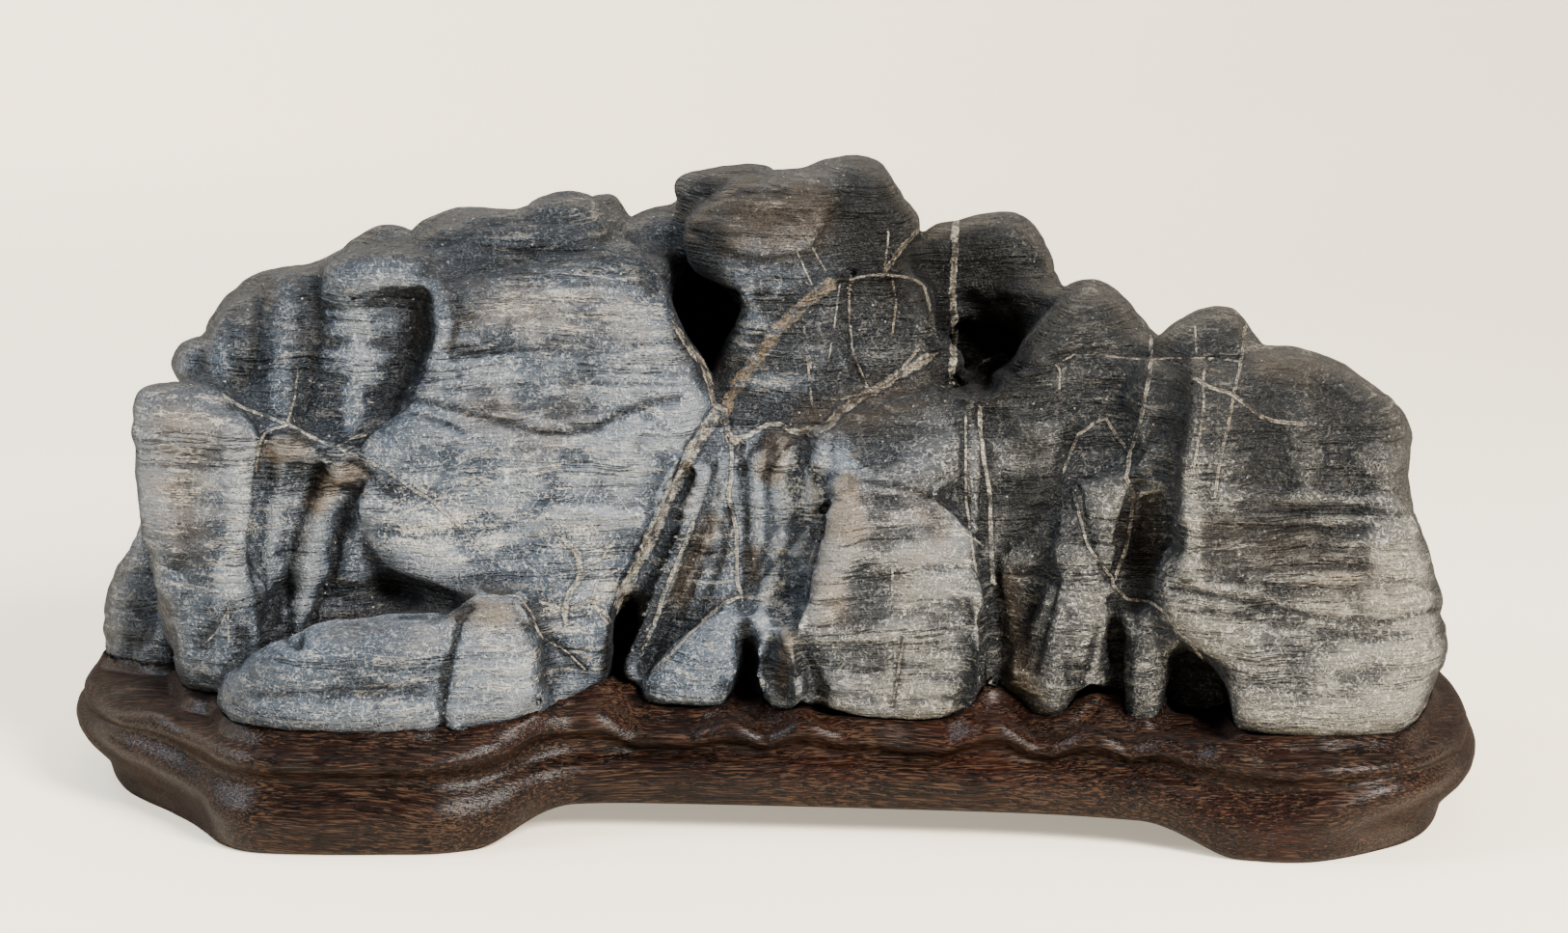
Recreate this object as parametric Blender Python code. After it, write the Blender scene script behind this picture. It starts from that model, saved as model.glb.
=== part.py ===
# Scholar's rock on its carved wood stand.
# X runs to the right, Y away from the viewer and Z up; the origin is under the middle
# of the stand, on the surface it rests on.
import math

import bmesh
import bpy
import numpy as np
from mathutils import Vector

mm = 0.001

# Driving dimensions, in millimetres.
standLength = 399.0
seatHeight = 24.0
feetHeight = 8.0
archLeft = -52.0
archRight = 100.0
archTurn = 26.0
archReach = 140.0
archSteps = 6
archBelow = 1.0
seatGap = 0.8
underside = 0.5

# How the stone is looked at in the picture that its outlines were measured in: the
# camera's tilt and distance, the point it looks at, and the picture's own across value
# over the middle of the stand.
lookDown = math.radians(12.5)
lookFrom = 1059.0
lookAt = Vector((5.0, 0.0, 88.0))
pictureMiddle = -3.0

# Fineness of the stone and the stand, and how far the cutters reach.
lobeSides = 48
lobeRings = 18
voxelSize = 2.2
smoothTurns = 3
backRoundness = 2.5
rockFaces = 6200
standSides = 84
cutterReach = 300.0

# Colour, linear, and roughness of the two materials.
stoneColour = (0.115, 0.125, 0.14)
stoneRoughness = 0.48
woodColour = (0.055, 0.028, 0.022)
woodRoughness = 0.36

# The stone is a union of worn lobes. Each has a name, the depth of its front and back
# (mm along Y), the roundness of its front (2 is an ellipsoid, 5 a flat face with a worn
# edge), how far its depth changes per mm across and up, and its outline as the picture
# shows it (mm across and up, on the upright plane through the stone's middle).
lobes = [
    # big smooth block at the left, and what lies on and beside it
    ("face block", -36, 34, 7.0, 0.02, 0.27, [
        (-101, 136), (-97, 141), (-88, 143), (-78, 144), (-70, 148), (-60, 149), (-50, 151),
        (-43, 153), (-38, 149), (-33, 142), (-30, 133), (-27, 125), (-22, 117), (-18, 108),
        (-20, 101), (-27, 92), (-32, 80), (-36, 68), (-42, 57), (-46, 42), (-49, 28), (-58, 24),
        (-65, 20), (-69, 32), (-69, 44), (-74, 51), (-85, 52), (-97, 53), (-106, 57), (-114, 62),
        (-118, 72), (-120, 82), (-118, 93), (-112, 105), (-105, 114), (-101, 124)]),
    ("shoulder", -8, 48, 4.0, 0.0, 0.6, [
        (-106, 150), (-103, 155), (-97, 159), (-90, 162), (-80, 162), (-74, 162), (-68, 165),
        (-60, 166), (-53, 165), (-48, 161), (-44, 155), (-40, 150), (-46, 140), (-60, 136),
        (-80, 135), (-95, 138), (-104, 144)]),
    ("brow", -21, 40, 3.0, 0.0, 0.4, [
        (-133, 143), (-130, 147), (-122, 150), (-113, 152), (-104, 152), (-97, 149), (-96, 143),
        (-103, 139), (-112, 138), (-120, 140), (-128, 140)]),
    ("rear hump", 14, 48, 2.5, 0.0, 0.2, [
        (-123, 148), (-119, 153), (-112, 156), (-106, 155), (-102, 152), (-99, 146),
        (-108, 141), (-118, 142)]),
    ("inner curtain", -23, 26, 2.0, 0.0, 0.1, [
        (-127, 139), (-118, 143), (-110, 141), (-108, 132), (-109, 122), (-111, 113),
        (-114, 104), (-117, 96), (-120, 92), (-123, 97), (-125, 108), (-127, 120), (-128, 131)]),
    ("middle curtain", -20, 30, 2.0, 0.0, 0.1, [
        (-147, 136), (-141, 143), (-136, 145), (-131, 141), (-132, 130), (-133, 120),
        (-134, 110), (-134, 100), (-138, 97), (-143, 101), (-146, 110), (-148, 122)]),
    ("outer curtain", -18, 28, 2.0, 0.0, 0.1, [
        (-165, 118), (-164, 125), (-161, 131), (-157, 135), (-152, 135), (-149, 129),
        (-150, 120), (-152, 112), (-156, 106), (-161, 108), (-164, 112)]),
    ("knob", -9, 16, 2.2, 0.0, 0.0, [
        (-172, 116), (-171, 120), (-168, 123), (-164, 124), (-161, 119), (-161, 112),
        (-164, 108), (-170, 110)]),
    ("left plate", -29, 20, 4.0, 0.0, 0.15, [
        (-160, 107), (-154, 115), (-147, 118), (-140, 117), (-132, 114), (-122, 110),
        (-113, 107), (-115, 99), (-118, 92), (-108, 82), (-100, 76), (-104, 72), (-118, 82),
        (-130, 90), (-143, 96), (-152, 100)]),
    ("fracture band", -40, 0, 3.5, 0.05, 0.2, [
        (-149, 96), (-142, 101), (-130, 96), (-118, 89), (-104, 84), (-92, 76), (-94, 64),
        (-108, 63), (-116, 70), (-121, 80), (-129, 88), (-140, 94)]),
    ("left mass", -8, 62, 3.0, 0.0, 0.2, [
        (-170, 111), (-167, 118), (-162, 124), (-160, 130), (-156, 136), (-151, 141),
        (-145, 143), (-138, 145), (-130, 147), (-120, 149), (-105, 151), (-92, 150),
        (-88, 130), (-92, 108), (-108, 94), (-130, 86), (-150, 88), (-164, 97)]),
    # pillars and boulders at the lower left
    ("shield", -43, -2, 3.5, -0.12, 0.12, [
        (-182, 107), (-180, 110), (-175, 111), (-169, 112), (-164, 111), (-159, 108),
        (-154, 103), (-150, 98), (-147, 93), (-149, 84), (-150, 75), (-151, 66), (-149, 57),
        (-146, 50), (-147, 41), (-150, 32), (-156, 25), (-161, 22), (-167, 24), (-171, 29),
        (-173, 38), (-176, 48), (-179, 60), (-181, 72), (-182, 84), (-183, 98)]),
    ("far lobe", -3, 44, 2.3, 0.0, 0.1, [
        (-178, 74), (-182, 70), (-186, 63), (-190, 56), (-192, 50), (-193, 44), (-192, 37),
        (-191, 31), (-186, 28), (-176, 30), (-164, 36), (-160, 52), (-166, 68)]),
    ("far toe", -10, 22, 2.3, 0.0, 0.2, [
        (-185, 31), (-184, 36), (-180, 41), (-175, 44), (-169, 43), (-167, 34), (-172, 29),
        (-180, 29)]),
    ("capped pillar", -39, -5, 2.5, 0.0, 0.1, [
        (-148, 92), (-145, 97), (-139, 97), (-132, 93), (-131, 87), (-134, 79), (-137, 72),
        (-139, 66), (-140, 60), (-143, 52), (-146, 43), (-149, 50), (-151, 58), (-152, 66),
        (-150, 75), (-149, 84)]),
    ("arched pillar", -37, -5, 2.5, 0.0, 0.1, [
        (-131, 84), (-128, 88), (-122, 88), (-118, 84), (-121, 78), (-125, 73), (-126, 66),
        (-127, 60), (-130, 54), (-133, 48), (-136, 41), (-140, 38), (-142, 42), (-141, 50),
        (-139, 58), (-138, 66), (-136, 73), (-133, 79)]),
    ("pillar bed", -27, 12, 3.0, 0.0, 0.1, [
        (-152, 58), (-151, 88), (-141, 93), (-127, 86), (-114, 78), (-110, 66), (-113, 46),
        (-126, 34), (-142, 30), (-152, 36)]),
    ("short pillar", -29, 0, 2.5, 0.0, 0.2, [
        (-125, 74), (-120, 80), (-113, 80), (-109, 72), (-113, 66), (-114, 58), (-115, 50),
        (-121, 44), (-130, 41), (-134, 41), (-133, 48), (-129, 55), (-126, 62), (-126, 68)]),
    ("long boulder", -76, -24, 3.0, 0.0, 0.3, [
        (-160, 20), (-158, 26), (-153, 30), (-147, 34), (-140, 38), (-132, 41), (-122, 43),
        (-112, 45), (-102, 46), (-94, 45), (-91, 32), (-92, 20), (-94, 12), (-105, 11),
        (-120, 11), (-135, 12), (-150, 13), (-157, 15)]),
    ("end boulder", -73, -26, 4.0, 0.0, 0.3, [
        (-96, 44), (-92, 48), (-86, 51), (-78, 51), (-73, 49), (-70, 42), (-67, 32), (-66, 24),
        (-67, 19), (-73, 16), (-84, 13), (-93, 12), (-97, 22), (-96, 33)]),
    # slanting ridges and feet below the middle
    ("knot", -29, 12, 2.6, 0.0, 0.3, [
        (-21, 96), (-19, 102), (-15, 106), (-9, 105), (-3, 103), (2, 99), (1, 93), (-6, 89),
        (-14, 88), (-20, 90)]),
    ("long ridge", -36, -6, 2.0, 0.0, 0.25, [
        (-22, 86), (-16, 86), (-19, 77), (-22, 70), (-25, 62), (-28, 54), (-31, 46), (-34, 40),
        (-37, 34), (-40, 26), (-44, 26), (-42, 33), (-39, 41), (-37, 48), (-35, 54), (-32, 62),
        (-29, 70), (-26, 77)]),
    ("thin ridge", -35, -8, 2.0, 0.0, 0.25, [
        (-19, 79), (-14, 77), (-18, 68), (-21, 60), (-24, 53), (-27, 46), (-30, 40), (-33, 37),
        (-31, 45), (-28, 54), (-25, 62), (-22, 70)]),
    ("hanging plate", -34, -6, 2.5, 0.0, 0.15, [
        (-19, 98), (-14, 98), (-12, 88), (-12, 78), (-12, 68), (-11, 58), (-12, 52), (-17, 56),
        (-20, 64), (-22, 72), (-23, 80), (-22, 88)]),
    ("wedge foot", -55, -16, 3.0, 0.0, 0.5, [
        (-10, 50), (-15, 50), (-18, 47), (-23, 43), (-28, 39), (-33, 34), (-37, 28), (-39, 23),
        (-37, 20), (-30, 19), (-22, 18), (-16, 18), (-14, 21), (-12, 26), (-10, 31), (-10, 38),
        (-10, 45)]),
    ("wedge flank", -41, -10, 2.5, 0.0, 0.3, [
        (-16, 72), (-12, 70), (-11, 60), (-9, 52), (-14, 45), (-22, 39), (-30, 35), (-34, 36),
        (-29, 48), (-25, 58), (-20, 66)]),
    ("narrow foot", -57, -20, 2.5, 0.0, 0.4, [
        (-8, 48), (-4, 50), (0, 44), (2, 38), (4, 32), (5, 26), (6, 21), (4, 17), (1, 16),
        (-2, 17), (-4, 22), (-5, 28), (-6, 34), (-8, 40)]),
    ("blue wedge", -49, -15, 2.5, 0.0, 0.4, [
        (2, 42), (7, 39), (12, 33), (16, 27), (17, 20), (11, 18), (8, 20), (7, 26), (5, 33)]),
    ("left fold", -35, 0, 2.2, 0.0, 0.2, [
        (-13, 89), (-5, 94), (4, 97), (8, 97), (4, 88), (1, 78), (-2, 68), (-5, 58), (-8, 51),
        (-11, 56), (-12, 66), (-13, 78)]),
    ("middle fold", -39, -2, 2.2, 0.0, 0.2, [
        (1, 92), (7, 97), (11, 92), (9, 84), (7, 76), (4, 68), (2, 60), (0, 50), (-3, 45),
        (-6, 49), (-4, 60), (-2, 70), (-1, 82)]),
    ("right fold", -43, -4, 2.2, 0.0, 0.2, [
        (11, 92), (16, 93), (19, 86), (20, 78), (17, 70), (13, 63), (10, 55), (8, 48), (4, 42),
        (1, 45), (3, 54), (6, 64), (9, 74), (10, 84)]),
    # central block with its sloping shelf
    ("central block", -62, -8, 4.0, 0.0, 0.3, [
        (20, 84), (27, 84), (35, 83), (43, 81), (48, 77), (52, 71), (55, 65), (57, 58), (58, 50),
        (58, 40), (58, 30), (58, 24), (55, 18), (50, 15), (44, 14), (36, 14), (28, 15), (20, 17),
        (14, 19), (12, 27), (8, 35), (5, 41), (8, 49), (12, 57), (16, 66), (18, 75)]),
    ("sloping shelf", -42, 6, 3.0, 0.0, 0.8, [
        (8, 97), (14, 101), (20, 104), (28, 107), (38, 109), (48, 110), (54, 108), (57, 104),
        (55, 96), (54, 88), (50, 82), (42, 79), (30, 77), (20, 79), (14, 86)]),
    ("block flank", -40, 0, 2.5, 0.0, 0.2, [
        (54, 105), (58, 105), (61, 96), (62, 85), (63, 75), (63, 65), (62, 56), (60, 50),
        (56, 55), (51, 66), (47, 76), (47, 84), (51, 90), (53, 98)]),
    # blocks right of the black cleft, and the summits
    ("cleft block", -13, 42, 4.0, 0.0, 0.22, [
        (-10, 140), (-8, 145), (0, 148), (8, 150), (15, 147), (20, 142), (21, 134), (20, 124),
        (18, 114), (14, 107), (8, 104), (0, 102), (-8, 100), (-13, 103), (-16, 108), (-18, 113),
        (-15, 119), (-13, 124), (-10, 130), (-9, 135)]),
    ("square block", -11, 36, 4.0, 0.0, 0.22, [
        (20, 139), (24, 143), (32, 144), (38, 143), (43, 140), (45, 134), (46, 127), (44, 121),
        (40, 117), (34, 113), (27, 110), (22, 112), (20, 120), (19, 130)]),
    ("block base", -15, 30, 3.0, 0.0, 0.5, [
        (-2, 95), (8, 98), (22, 103), (36, 108), (48, 112), (54, 118), (46, 125), (30, 121),
        (20, 117), (6, 108), (-6, 102)]),
    ("tan summit", -8, 44, 3.0, 0.0, 0.45, [
        (-27, 156), (-25, 161), (-20, 165), (-16, 168), (-12, 170), (-5, 171), (5, 172),
        (12, 173), (18, 172), (20, 166), (19, 158), (16, 152), (12, 149), (4, 148), (-4, 146),
        (-12, 148), (-20, 151), (-26, 153)]),
    ("dark summit", 0, 50, 3.4, 0.0, 0.3, [
        (6, 170), (11, 174), (17, 176), (22, 177), (27, 176), (31, 174), (34, 170), (37, 165),
        (39, 161), (40, 156), (38, 151), (32, 147), (24, 145), (16, 146), (11, 152), (8, 162)]),
    ("left summit", 18, 60, 3.0, 0.0, 0.1, [
        (-29, 158), (-29, 164), (-28, 169), (-25, 171), (-20, 172), (-14, 173), (-8, 174),
        (-2, 172), (0, 160), (-8, 148), (-22, 145), (-28, 150)]),
    ("gap hump", 26, 62, 2.4, 0.0, 0.1, [
        (-55, 162), (-52, 166), (-47, 166), (-44, 161), (-40, 154), (-43, 146), (-50, 147),
        (-56, 154)]),
    ("gap ridge", 22, 60, 2.4, 0.0, 0.1, [
        (-43, 156), (-38, 161), (-32, 163), (-27, 163), (-24, 154), (-26, 144), (-33, 139),
        (-40, 146)]),
    ("dark dome", 18, 62, 3.2, 0.0, 0.15, [
        (37, 149), (41, 153), (46, 156), (52, 157), (57, 159), (62, 160), (68, 160), (72, 157),
        (76, 151), (79, 147), (80, 142), (80, 136), (78, 130), (71, 126), (60, 126), (50, 130),
        (42, 134), (37, 142)]),
    ("blue fold", 8, 40, 2.2, 0.0, 0.0, [
        (63, 137), (66, 141), (70, 143), (75, 142), (78, 137), (74, 133), (67, 132)]),
    # right half
    ("crest", -24, 50, 3.2, 0.0, 0.5, [
        (61, 114), (68, 122), (74, 129), (79, 135), (84, 140), (90, 142), (96, 139), (101, 133),
        (105, 127), (109, 123), (108, 117), (98, 116), (88, 116), (80, 115), (72, 112),
        (66, 110)]),
    ("under crest", -29, 22, 3.0, 0.0, 0.4, [
        (59, 107), (66, 110), (74, 113), (81, 118), (90, 119), (100, 119), (107, 117), (111, 110),
        (108, 100), (104, 92), (98, 86), (90, 83), (82, 83), (76, 85), (70, 89), (63, 95)]),
    ("right crest", -38, 42, 3.0, 0.0, 0.6, [
        (106, 120), (112, 127), (117, 130), (122, 132), (127, 133), (131, 132), (134, 129),
        (137, 124), (140, 119), (135, 115), (125, 114), (115, 114), (108, 115)]),
    ("inner wall", -37, 6, 3.0, 0.0, 0.3, [
        (57, 105), (64, 107), (72, 104), (80, 101), (87, 97), (85, 88), (81, 82), (75, 74),
        (69, 67), (62, 60), (60, 72), (60, 84), (59, 94)]),
    ("small plate", -42, -5, 3.0, 0.0, 0.2, [
        (85, 95), (90, 99), (94, 102), (98, 98), (101, 93), (100, 87), (93, 85), (87, 84),
        (85, 88)]),
    ("pointed plate", -51, -15, 3.0, 0.0, 0.25, [
        (84, 86), (88, 85), (94, 87), (100, 88), (101, 78), (99, 68), (97, 58), (95, 55),
        (91, 62), (87, 70), (84, 78)]),
    ("jagged flank", -52, -12, 2.5, 0.0, 0.25, [
        (70, 59), (69, 67), (74, 73), (79, 79), (84, 85), (87, 78), (84, 68), (81, 58), (77, 55),
        (72, 57)]),
    ("middle foot", -65, -20, 2.6, 0.0, 0.35, [
        (71, 18), (70, 24), (71, 30), (72, 36), (73, 42), (76, 47), (79, 53), (80, 60), (82, 67),
        (84, 74), (87, 79), (90, 72), (93, 64), (94, 56), (95, 48), (94, 40), (91, 34), (88, 29),
        (86, 23), (83, 18), (80, 14), (77, 13), (73, 14)]),
    ("brown recess", -39, 0, 4.0, 0.0, 0.1, [
        (98, 76), (104, 75), (110, 75), (113, 66), (109, 58), (106, 49), (98, 44), (96, 54),
        (98, 66)]),
    ("round foot", -67, -24, 2.6, 0.0, 0.35, [
        (101, 14), (100, 20), (101, 28), (103, 36), (103, 44), (105, 51), (111, 52), (116, 47),
        (117, 40), (113, 35), (111, 28), (111, 20), (109, 15), (106, 12), (103, 12)]),
    ("cave wall", -46, -10, 3.0, 0.0, 0.1, [
        (111, 14), (112, 34), (118, 40), (126, 34), (131, 24), (129, 12), (120, 9)]),
    ("flute bed", -50, 4, 3.5, 0.0, 0.25, [
        (107, 117), (114, 119), (122, 118), (126, 108), (126, 92), (123, 78), (113, 74),
        (105, 82), (103, 94), (104, 106)]),
    ("fluted edge", -61, -10, 2.0, 0.0, 0.25, [
        (115, 115), (120, 118), (125, 115), (125, 104), (124, 94), (123, 84), (122, 76),
        (117, 72), (113, 78), (115, 88), (116, 98), (115, 108)]),
    ("great right face", -71, 8, 6.0, 0.0, 0.3, [
        (121, 117), (128, 119), (135, 120), (145, 121), (152, 120), (157, 119), (161, 118),
        (165, 115), (170, 111), (175, 107), (178, 103), (180, 97), (180, 88), (181, 80),
        (183, 73), (185, 65), (187, 57), (189, 49), (190, 42), (191, 36), (190, 30), (187, 25),
        (183, 18), (178, 12), (170, 10), (158, 9), (145, 9), (135, 10), (130, 13), (129, 24),
        (126, 31), (120, 35), (115, 39), (110, 44), (107, 52), (109, 59), (113, 66), (112, 74),
        (115, 82), (118, 92), (118, 104), (117, 112)]),
    # the masses behind
    ("left core", -14, 74, 4.0, 0.0, 0.1, [
        (-164, 40), (-168, 60), (-165, 85), (-158, 108), (-150, 126), (-135, 136), (-110, 142),
        (-80, 147), (-56, 149), (-43, 140), (-38, 125), (-36, 100), (-38, 80), (-47, 60),
        (-54, 40), (-60, 14), (-90, 8), (-128, 10), (-152, 22)]),
    ("middle core", 0, 80, 4.0, 0.0, 0.1, [
        (-60, 14), (-51, 60), (-38, 84), (-22, 94), (0, 93), (20, 97), (50, 101), (70, 95),
        (85, 80), (92, 60), (90, 14), (60, 4), (20, 4), (-20, 6)]),
    ("upper core", 34, 78, 3.0, 0.0, 0.05, [
        (-14, 92), (-16, 138), (-12, 155), (0, 164), (20, 166), (34, 160), (45, 152),
        (60, 152), (71, 146), (75, 130), (66, 108), (50, 94), (20, 84)]),
    ("right core", -29, 66, 4.0, -0.1, 0.15, [
        (66, 98), (70, 114), (84, 127), (100, 122), (120, 123), (136, 115), (155, 110),
        (168, 99), (172, 80), (174, 55), (172, 34), (160, 8), (132, 6), (100, 8), (88, 30),
        (76, 66)]),
    ("cleft back", 50, 78, 3.0, 0.0, 0.0, [
        (-52, 96), (-52, 136), (-42, 152), (-30, 156), (-16, 154), (-6, 136), (-8, 100),
        (-30, 88)]),
    # the side that the picture doesn't show
    ("rear left block", 34, 78, 3.4, -0.15, -0.05, [
        (-136, 116), (-122, 128), (-102, 133), (-84, 126), (-80, 96), (-86, 62), (-92, 28),
        (-118, 24), (-138, 32), (-147, 62), (-146, 92)]),
    ("rear pillar", 46, 83, 2.6, 0.0, -0.05, [
        (-76, 124), (-62, 134), (-44, 128), (-39, 102), (-43, 70), (-39, 34), (-58, 22),
        (-84, 28), (-80, 66), (-84, 98)]),
    ("rear wall", 42, 80, 3.6, 0.0, -0.04, [
        (-42, 136), (-18, 148), (4, 156), (24, 148), (31, 118), (26, 84), (34, 44), (14, 20),
        (-24, 20), (-48, 32), (-44, 72), (-47, 104)]),
    ("rear ridge", 44, 82, 2.4, 0.1, -0.05, [
        (40, 134), (54, 142), (68, 132), (73, 104), (64, 72), (70, 38), (52, 22), (36, 32),
        (40, 70), (34, 104)]),
    ("rear right block", 28, 74, 3.4, -0.12, -0.05, [
        (82, 120), (100, 112), (122, 114), (140, 102), (150, 88), (155, 60), (153, 34),
        (136, 20), (106, 20), (82, 32), (78, 68), (74, 98)]),
    ("rear low boulder", 50, 87, 2.8, 0.0, -0.2, [
        (-128, 46), (-110, 58), (-88, 55), (-72, 42), (-78, 24), (-102, 20), (-122, 26)]),
    ("rear right foot", 50, 84, 2.6, 0.0, -0.2, [
        (90, 50), (106, 60), (124, 53), (130, 38), (118, 24), (100, 20), (84, 34)]),
    ("rear left fold", 50, 83, 2.2, 0.0, -0.05, [
        (-120, 118), (-108, 125), (-98, 117), (-102, 94), (-97, 70), (-104, 46), (-116, 46),
        (-118, 70), (-111, 94)]),
    ("rear end fold", 44, 76, 2.2, -0.1, 0.0, [
        (-138, 98), (-130, 107), (-123, 96), (-128, 72), (-122, 46), (-133, 38), (-141, 52),
        (-143, 78)]),
    ("rear ledge", 56, 86, 2.4, 0.0, 0.1, [
        (-18, 118), (-2, 130), (18, 125), (24, 110), (10, 99), (-10, 100), (-22, 107)]),
    ("rear low slab", 52, 84, 3.0, 0.0, -0.05, [
        (-30, 64), (-12, 74), (8, 68), (20, 50), (10, 30), (-16, 26), (-34, 38)]),
    ("rear right fold", 42, 78, 2.2, 0.0, -0.05, [
        (94, 108), (105, 113), (112, 98), (107, 76), (112, 50), (100, 40), (91, 56),
        (95, 84)]),
    ("rear corner fold", 38, 72, 2.2, -0.1, 0.0, [
        (122, 104), (133, 102), (140, 84), (133, 60), (138, 40), (124, 34), (117, 52),
        (125, 76)]),
]

# The stand seen from above, at the widest part of its side (mm).
standPlan = [
    (-199, 10), (-197, -12), (-189, -34), (-175, -51), (-161, -65), (-148, -78), (-134, -85),
    (-110, -87), (-86, -86), (-70, -79), (-58, -70), (-44, -67), (-18, -68), (32, -72),
    (77, -77), (106, -84), (130, -92), (152, -95), (174, -88), (190, -70), (198, -44),
    (200, -12), (197, 20), (189, 50), (172, 74), (146, 89), (105, 95), (55, 94), (0, 96),
    (-60, 97), (-115, 96), (-157, 85), (-183, 61), (-196, 34)]

# The stand's side from the floor up: how far in from the plan (mm) and how high.
standSide = [
    (12.0, 0.0), (10.0, 0.0), (8.6, 1.2), (8.4, 5.2), (9.2, 7.6), (6.4, 8.6), (2.4, 10.8),
    (0.4, 14.2), (0.2, 17.4), (1.8, 20.4), (4.2, 22.2), (3.6, 23.4), (3.4, 25.0), (4.6, 26.6),
    (7.4, 27.6), (11.0, 28.2)]


def clearScene():
    for thing in list(bpy.data.objects):
        bpy.data.objects.remove(thing, do_unlink=True)


def makeMaterial(name, colour, roughness):
    material = bpy.data.materials.new(name)
    material.use_nodes = True
    shader = material.node_tree.nodes["Principled BSDF"]
    shader.inputs["Base Color"].default_value = (*colour, 1.0)
    shader.inputs["Roughness"].default_value = roughness
    return material


def makeObject(name, points, faces):
    mesh = bpy.data.meshes.new(name)
    mesh.from_pydata([tuple(point) for point in points], [], faces)
    mesh.update()
    thing = bpy.data.objects.new(name, mesh)
    bpy.context.scene.collection.objects.link(thing)
    return thing


def smoothLoop(corners, count):
    # a closed curve through the corners, p(t) = the Catmull-Rom cubic of each four
    corners = np.array(corners, dtype=float)
    place = np.linspace(0.0, len(corners), count, endpoint=False)
    at = place.astype(int)
    t = (place - at)[:, None]
    a, b, c, d = (corners[(at + step) % len(corners)] for step in (-1, 0, 1, 2))
    return 0.5 * (2 * b + (c - a) * t + (2 * a - 5 * b + 4 * c - d) * t ** 2
                  + (3 * b - a - 3 * c + d) * t ** 3)


def alongSight(across, up, depth):
    # the point at this depth on the line of sight through (across, up) of the picture:
    # eye + t (p - eye), with t = (depth - eye.y) / (p.y - eye.y)
    eye = lookAt - lookFrom * Vector((0.0, math.cos(lookDown), -math.sin(lookDown)))
    px = across - pictureMiddle
    py = (up - lookAt.z) * math.sin(lookDown)
    pz = lookAt.z + (up - lookAt.z) * math.cos(lookDown)
    t = (depth - eye.y) / (py - eye.y)
    return np.stack([eye.x + t * (px - eye.x), depth, eye.z + t * (pz - eye.z)], axis=-1)


def addLobe(front, back, roundness, leanAcross, leanUp, outline):
    # ring angle a from 0 at the front to pi at the back: the outline shrinks to its
    # middle as sin(a)^(2/n), and the depth runs as cos(a)^(2/n), n being the roundness,
    # which is never more than backRoundness behind the widest ring
    loop = smoothLoop(outline, lobeSides)
    middle = loop.mean(axis=0)
    angle = np.linspace(0.0, math.pi, lobeRings)[1:-1]
    backPower = 2.0 / min(roundness, backRoundness)
    power = np.where(angle < 0.5 * math.pi, 2.0 / roundness, backPower)
    size = np.sin(angle) ** power
    reach = np.sign(np.cos(angle)) * np.abs(np.cos(angle)) ** power
    flat = middle + (loop - middle)[None] * size[:, None, None]
    centre = 0.5 * (front + back)
    half = 0.5 * (back - front)
    depth = (centre - half * reach)[:, None] + (flat - middle) @ (leanAcross, leanUp)
    rings = alongSight(flat[..., 0], flat[..., 1], depth)
    poles = alongSight(np.full(2, middle[0]), np.full(2, middle[1]), np.array([front, back]))
    points = np.concatenate([rings.reshape(-1, 3), poles]) * mm
    faces = []
    lastRing = (len(angle) - 1) * lobeSides
    frontPole = len(points) - 2
    backPole = len(points) - 1
    for side in range(lobeSides):
        after = (side + 1) % lobeSides
        faces.append((frontPole, side, after))
        faces.append((backPole, lastRing + after, lastRing + side))
        for ring in range(0, lastRing, lobeSides):
            faces.append((ring + side, ring + lobeSides + side, ring + lobeSides + after, ring + after))
    return points, faces


def addModifier(thing, kind, **settings):
    modifier = thing.modifiers.new(kind.title(), kind)
    for name, value in settings.items():
        setattr(modifier, name, value)
    return modifier


def bakeModifiers(thing):
    # replaces the object's mesh by what its modifiers make of it
    evaluated = thing.evaluated_get(bpy.context.evaluated_depsgraph_get())
    mesh = bpy.data.meshes.new_from_object(evaluated)
    thing.modifiers.clear()
    thing.data = mesh


def faceOutward(thing):
    shape = bmesh.new()
    shape.from_mesh(thing.data)
    bmesh.ops.recalc_face_normals(shape, faces=shape.faces)
    shape.to_mesh(thing.data)
    shape.free()


def makeCutter(name, low, high):
    corners = [(x, y, z) for x in (low[0], high[0]) for y in (low[1], high[1])
               for z in (low[2], high[2])]
    faces = [(0, 1, 3, 2), (4, 6, 7, 5), (0, 4, 5, 1), (2, 3, 7, 6), (0, 2, 6, 4), (1, 5, 7, 3)]
    cutter = makeObject(name, np.array(corners) * mm, faces)
    cutter.hide_render = True
    cutter.display_type = "WIRE"
    return cutter


def makeRock():
    points = []
    faces = []
    for name, front, back, roundness, leanAcross, leanUp, outline in lobes:
        lobePoints, lobeFaces = addLobe(front, back, roundness, leanAcross, leanUp, outline)
        first = len(points)
        points.extend(lobePoints)
        faces.extend(tuple(first + corner for corner in face) for face in lobeFaces)
    rock = makeObject("rock", points, faces)
    faceOutward(rock)
    below = makeCutter("below_seat", (-cutterReach, -cutterReach, -cutterReach),
                       (cutterReach, cutterReach, seatHeight))
    addModifier(rock, "REMESH", mode="VOXEL", voxel_size=voxelSize * mm)
    addModifier(rock, "SMOOTH", factor=0.5, iterations=smoothTurns)
    addModifier(rock, "BOOLEAN", operation="DIFFERENCE", object=below)
    bakeModifiers(rock)
    keepLargest(rock)
    addModifier(rock, "DECIMATE", ratio=rockFaces / countTriangles(rock))
    bakeModifiers(rock)
    keepLargest(rock)
    rock.data.materials.clear()
    rock.data.materials.append(makeMaterial("limestone", stoneColour, stoneRoughness))
    return rock


def countTriangles(thing):
    return sum(len(face.vertices) - 2 for face in thing.data.polygons)


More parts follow.
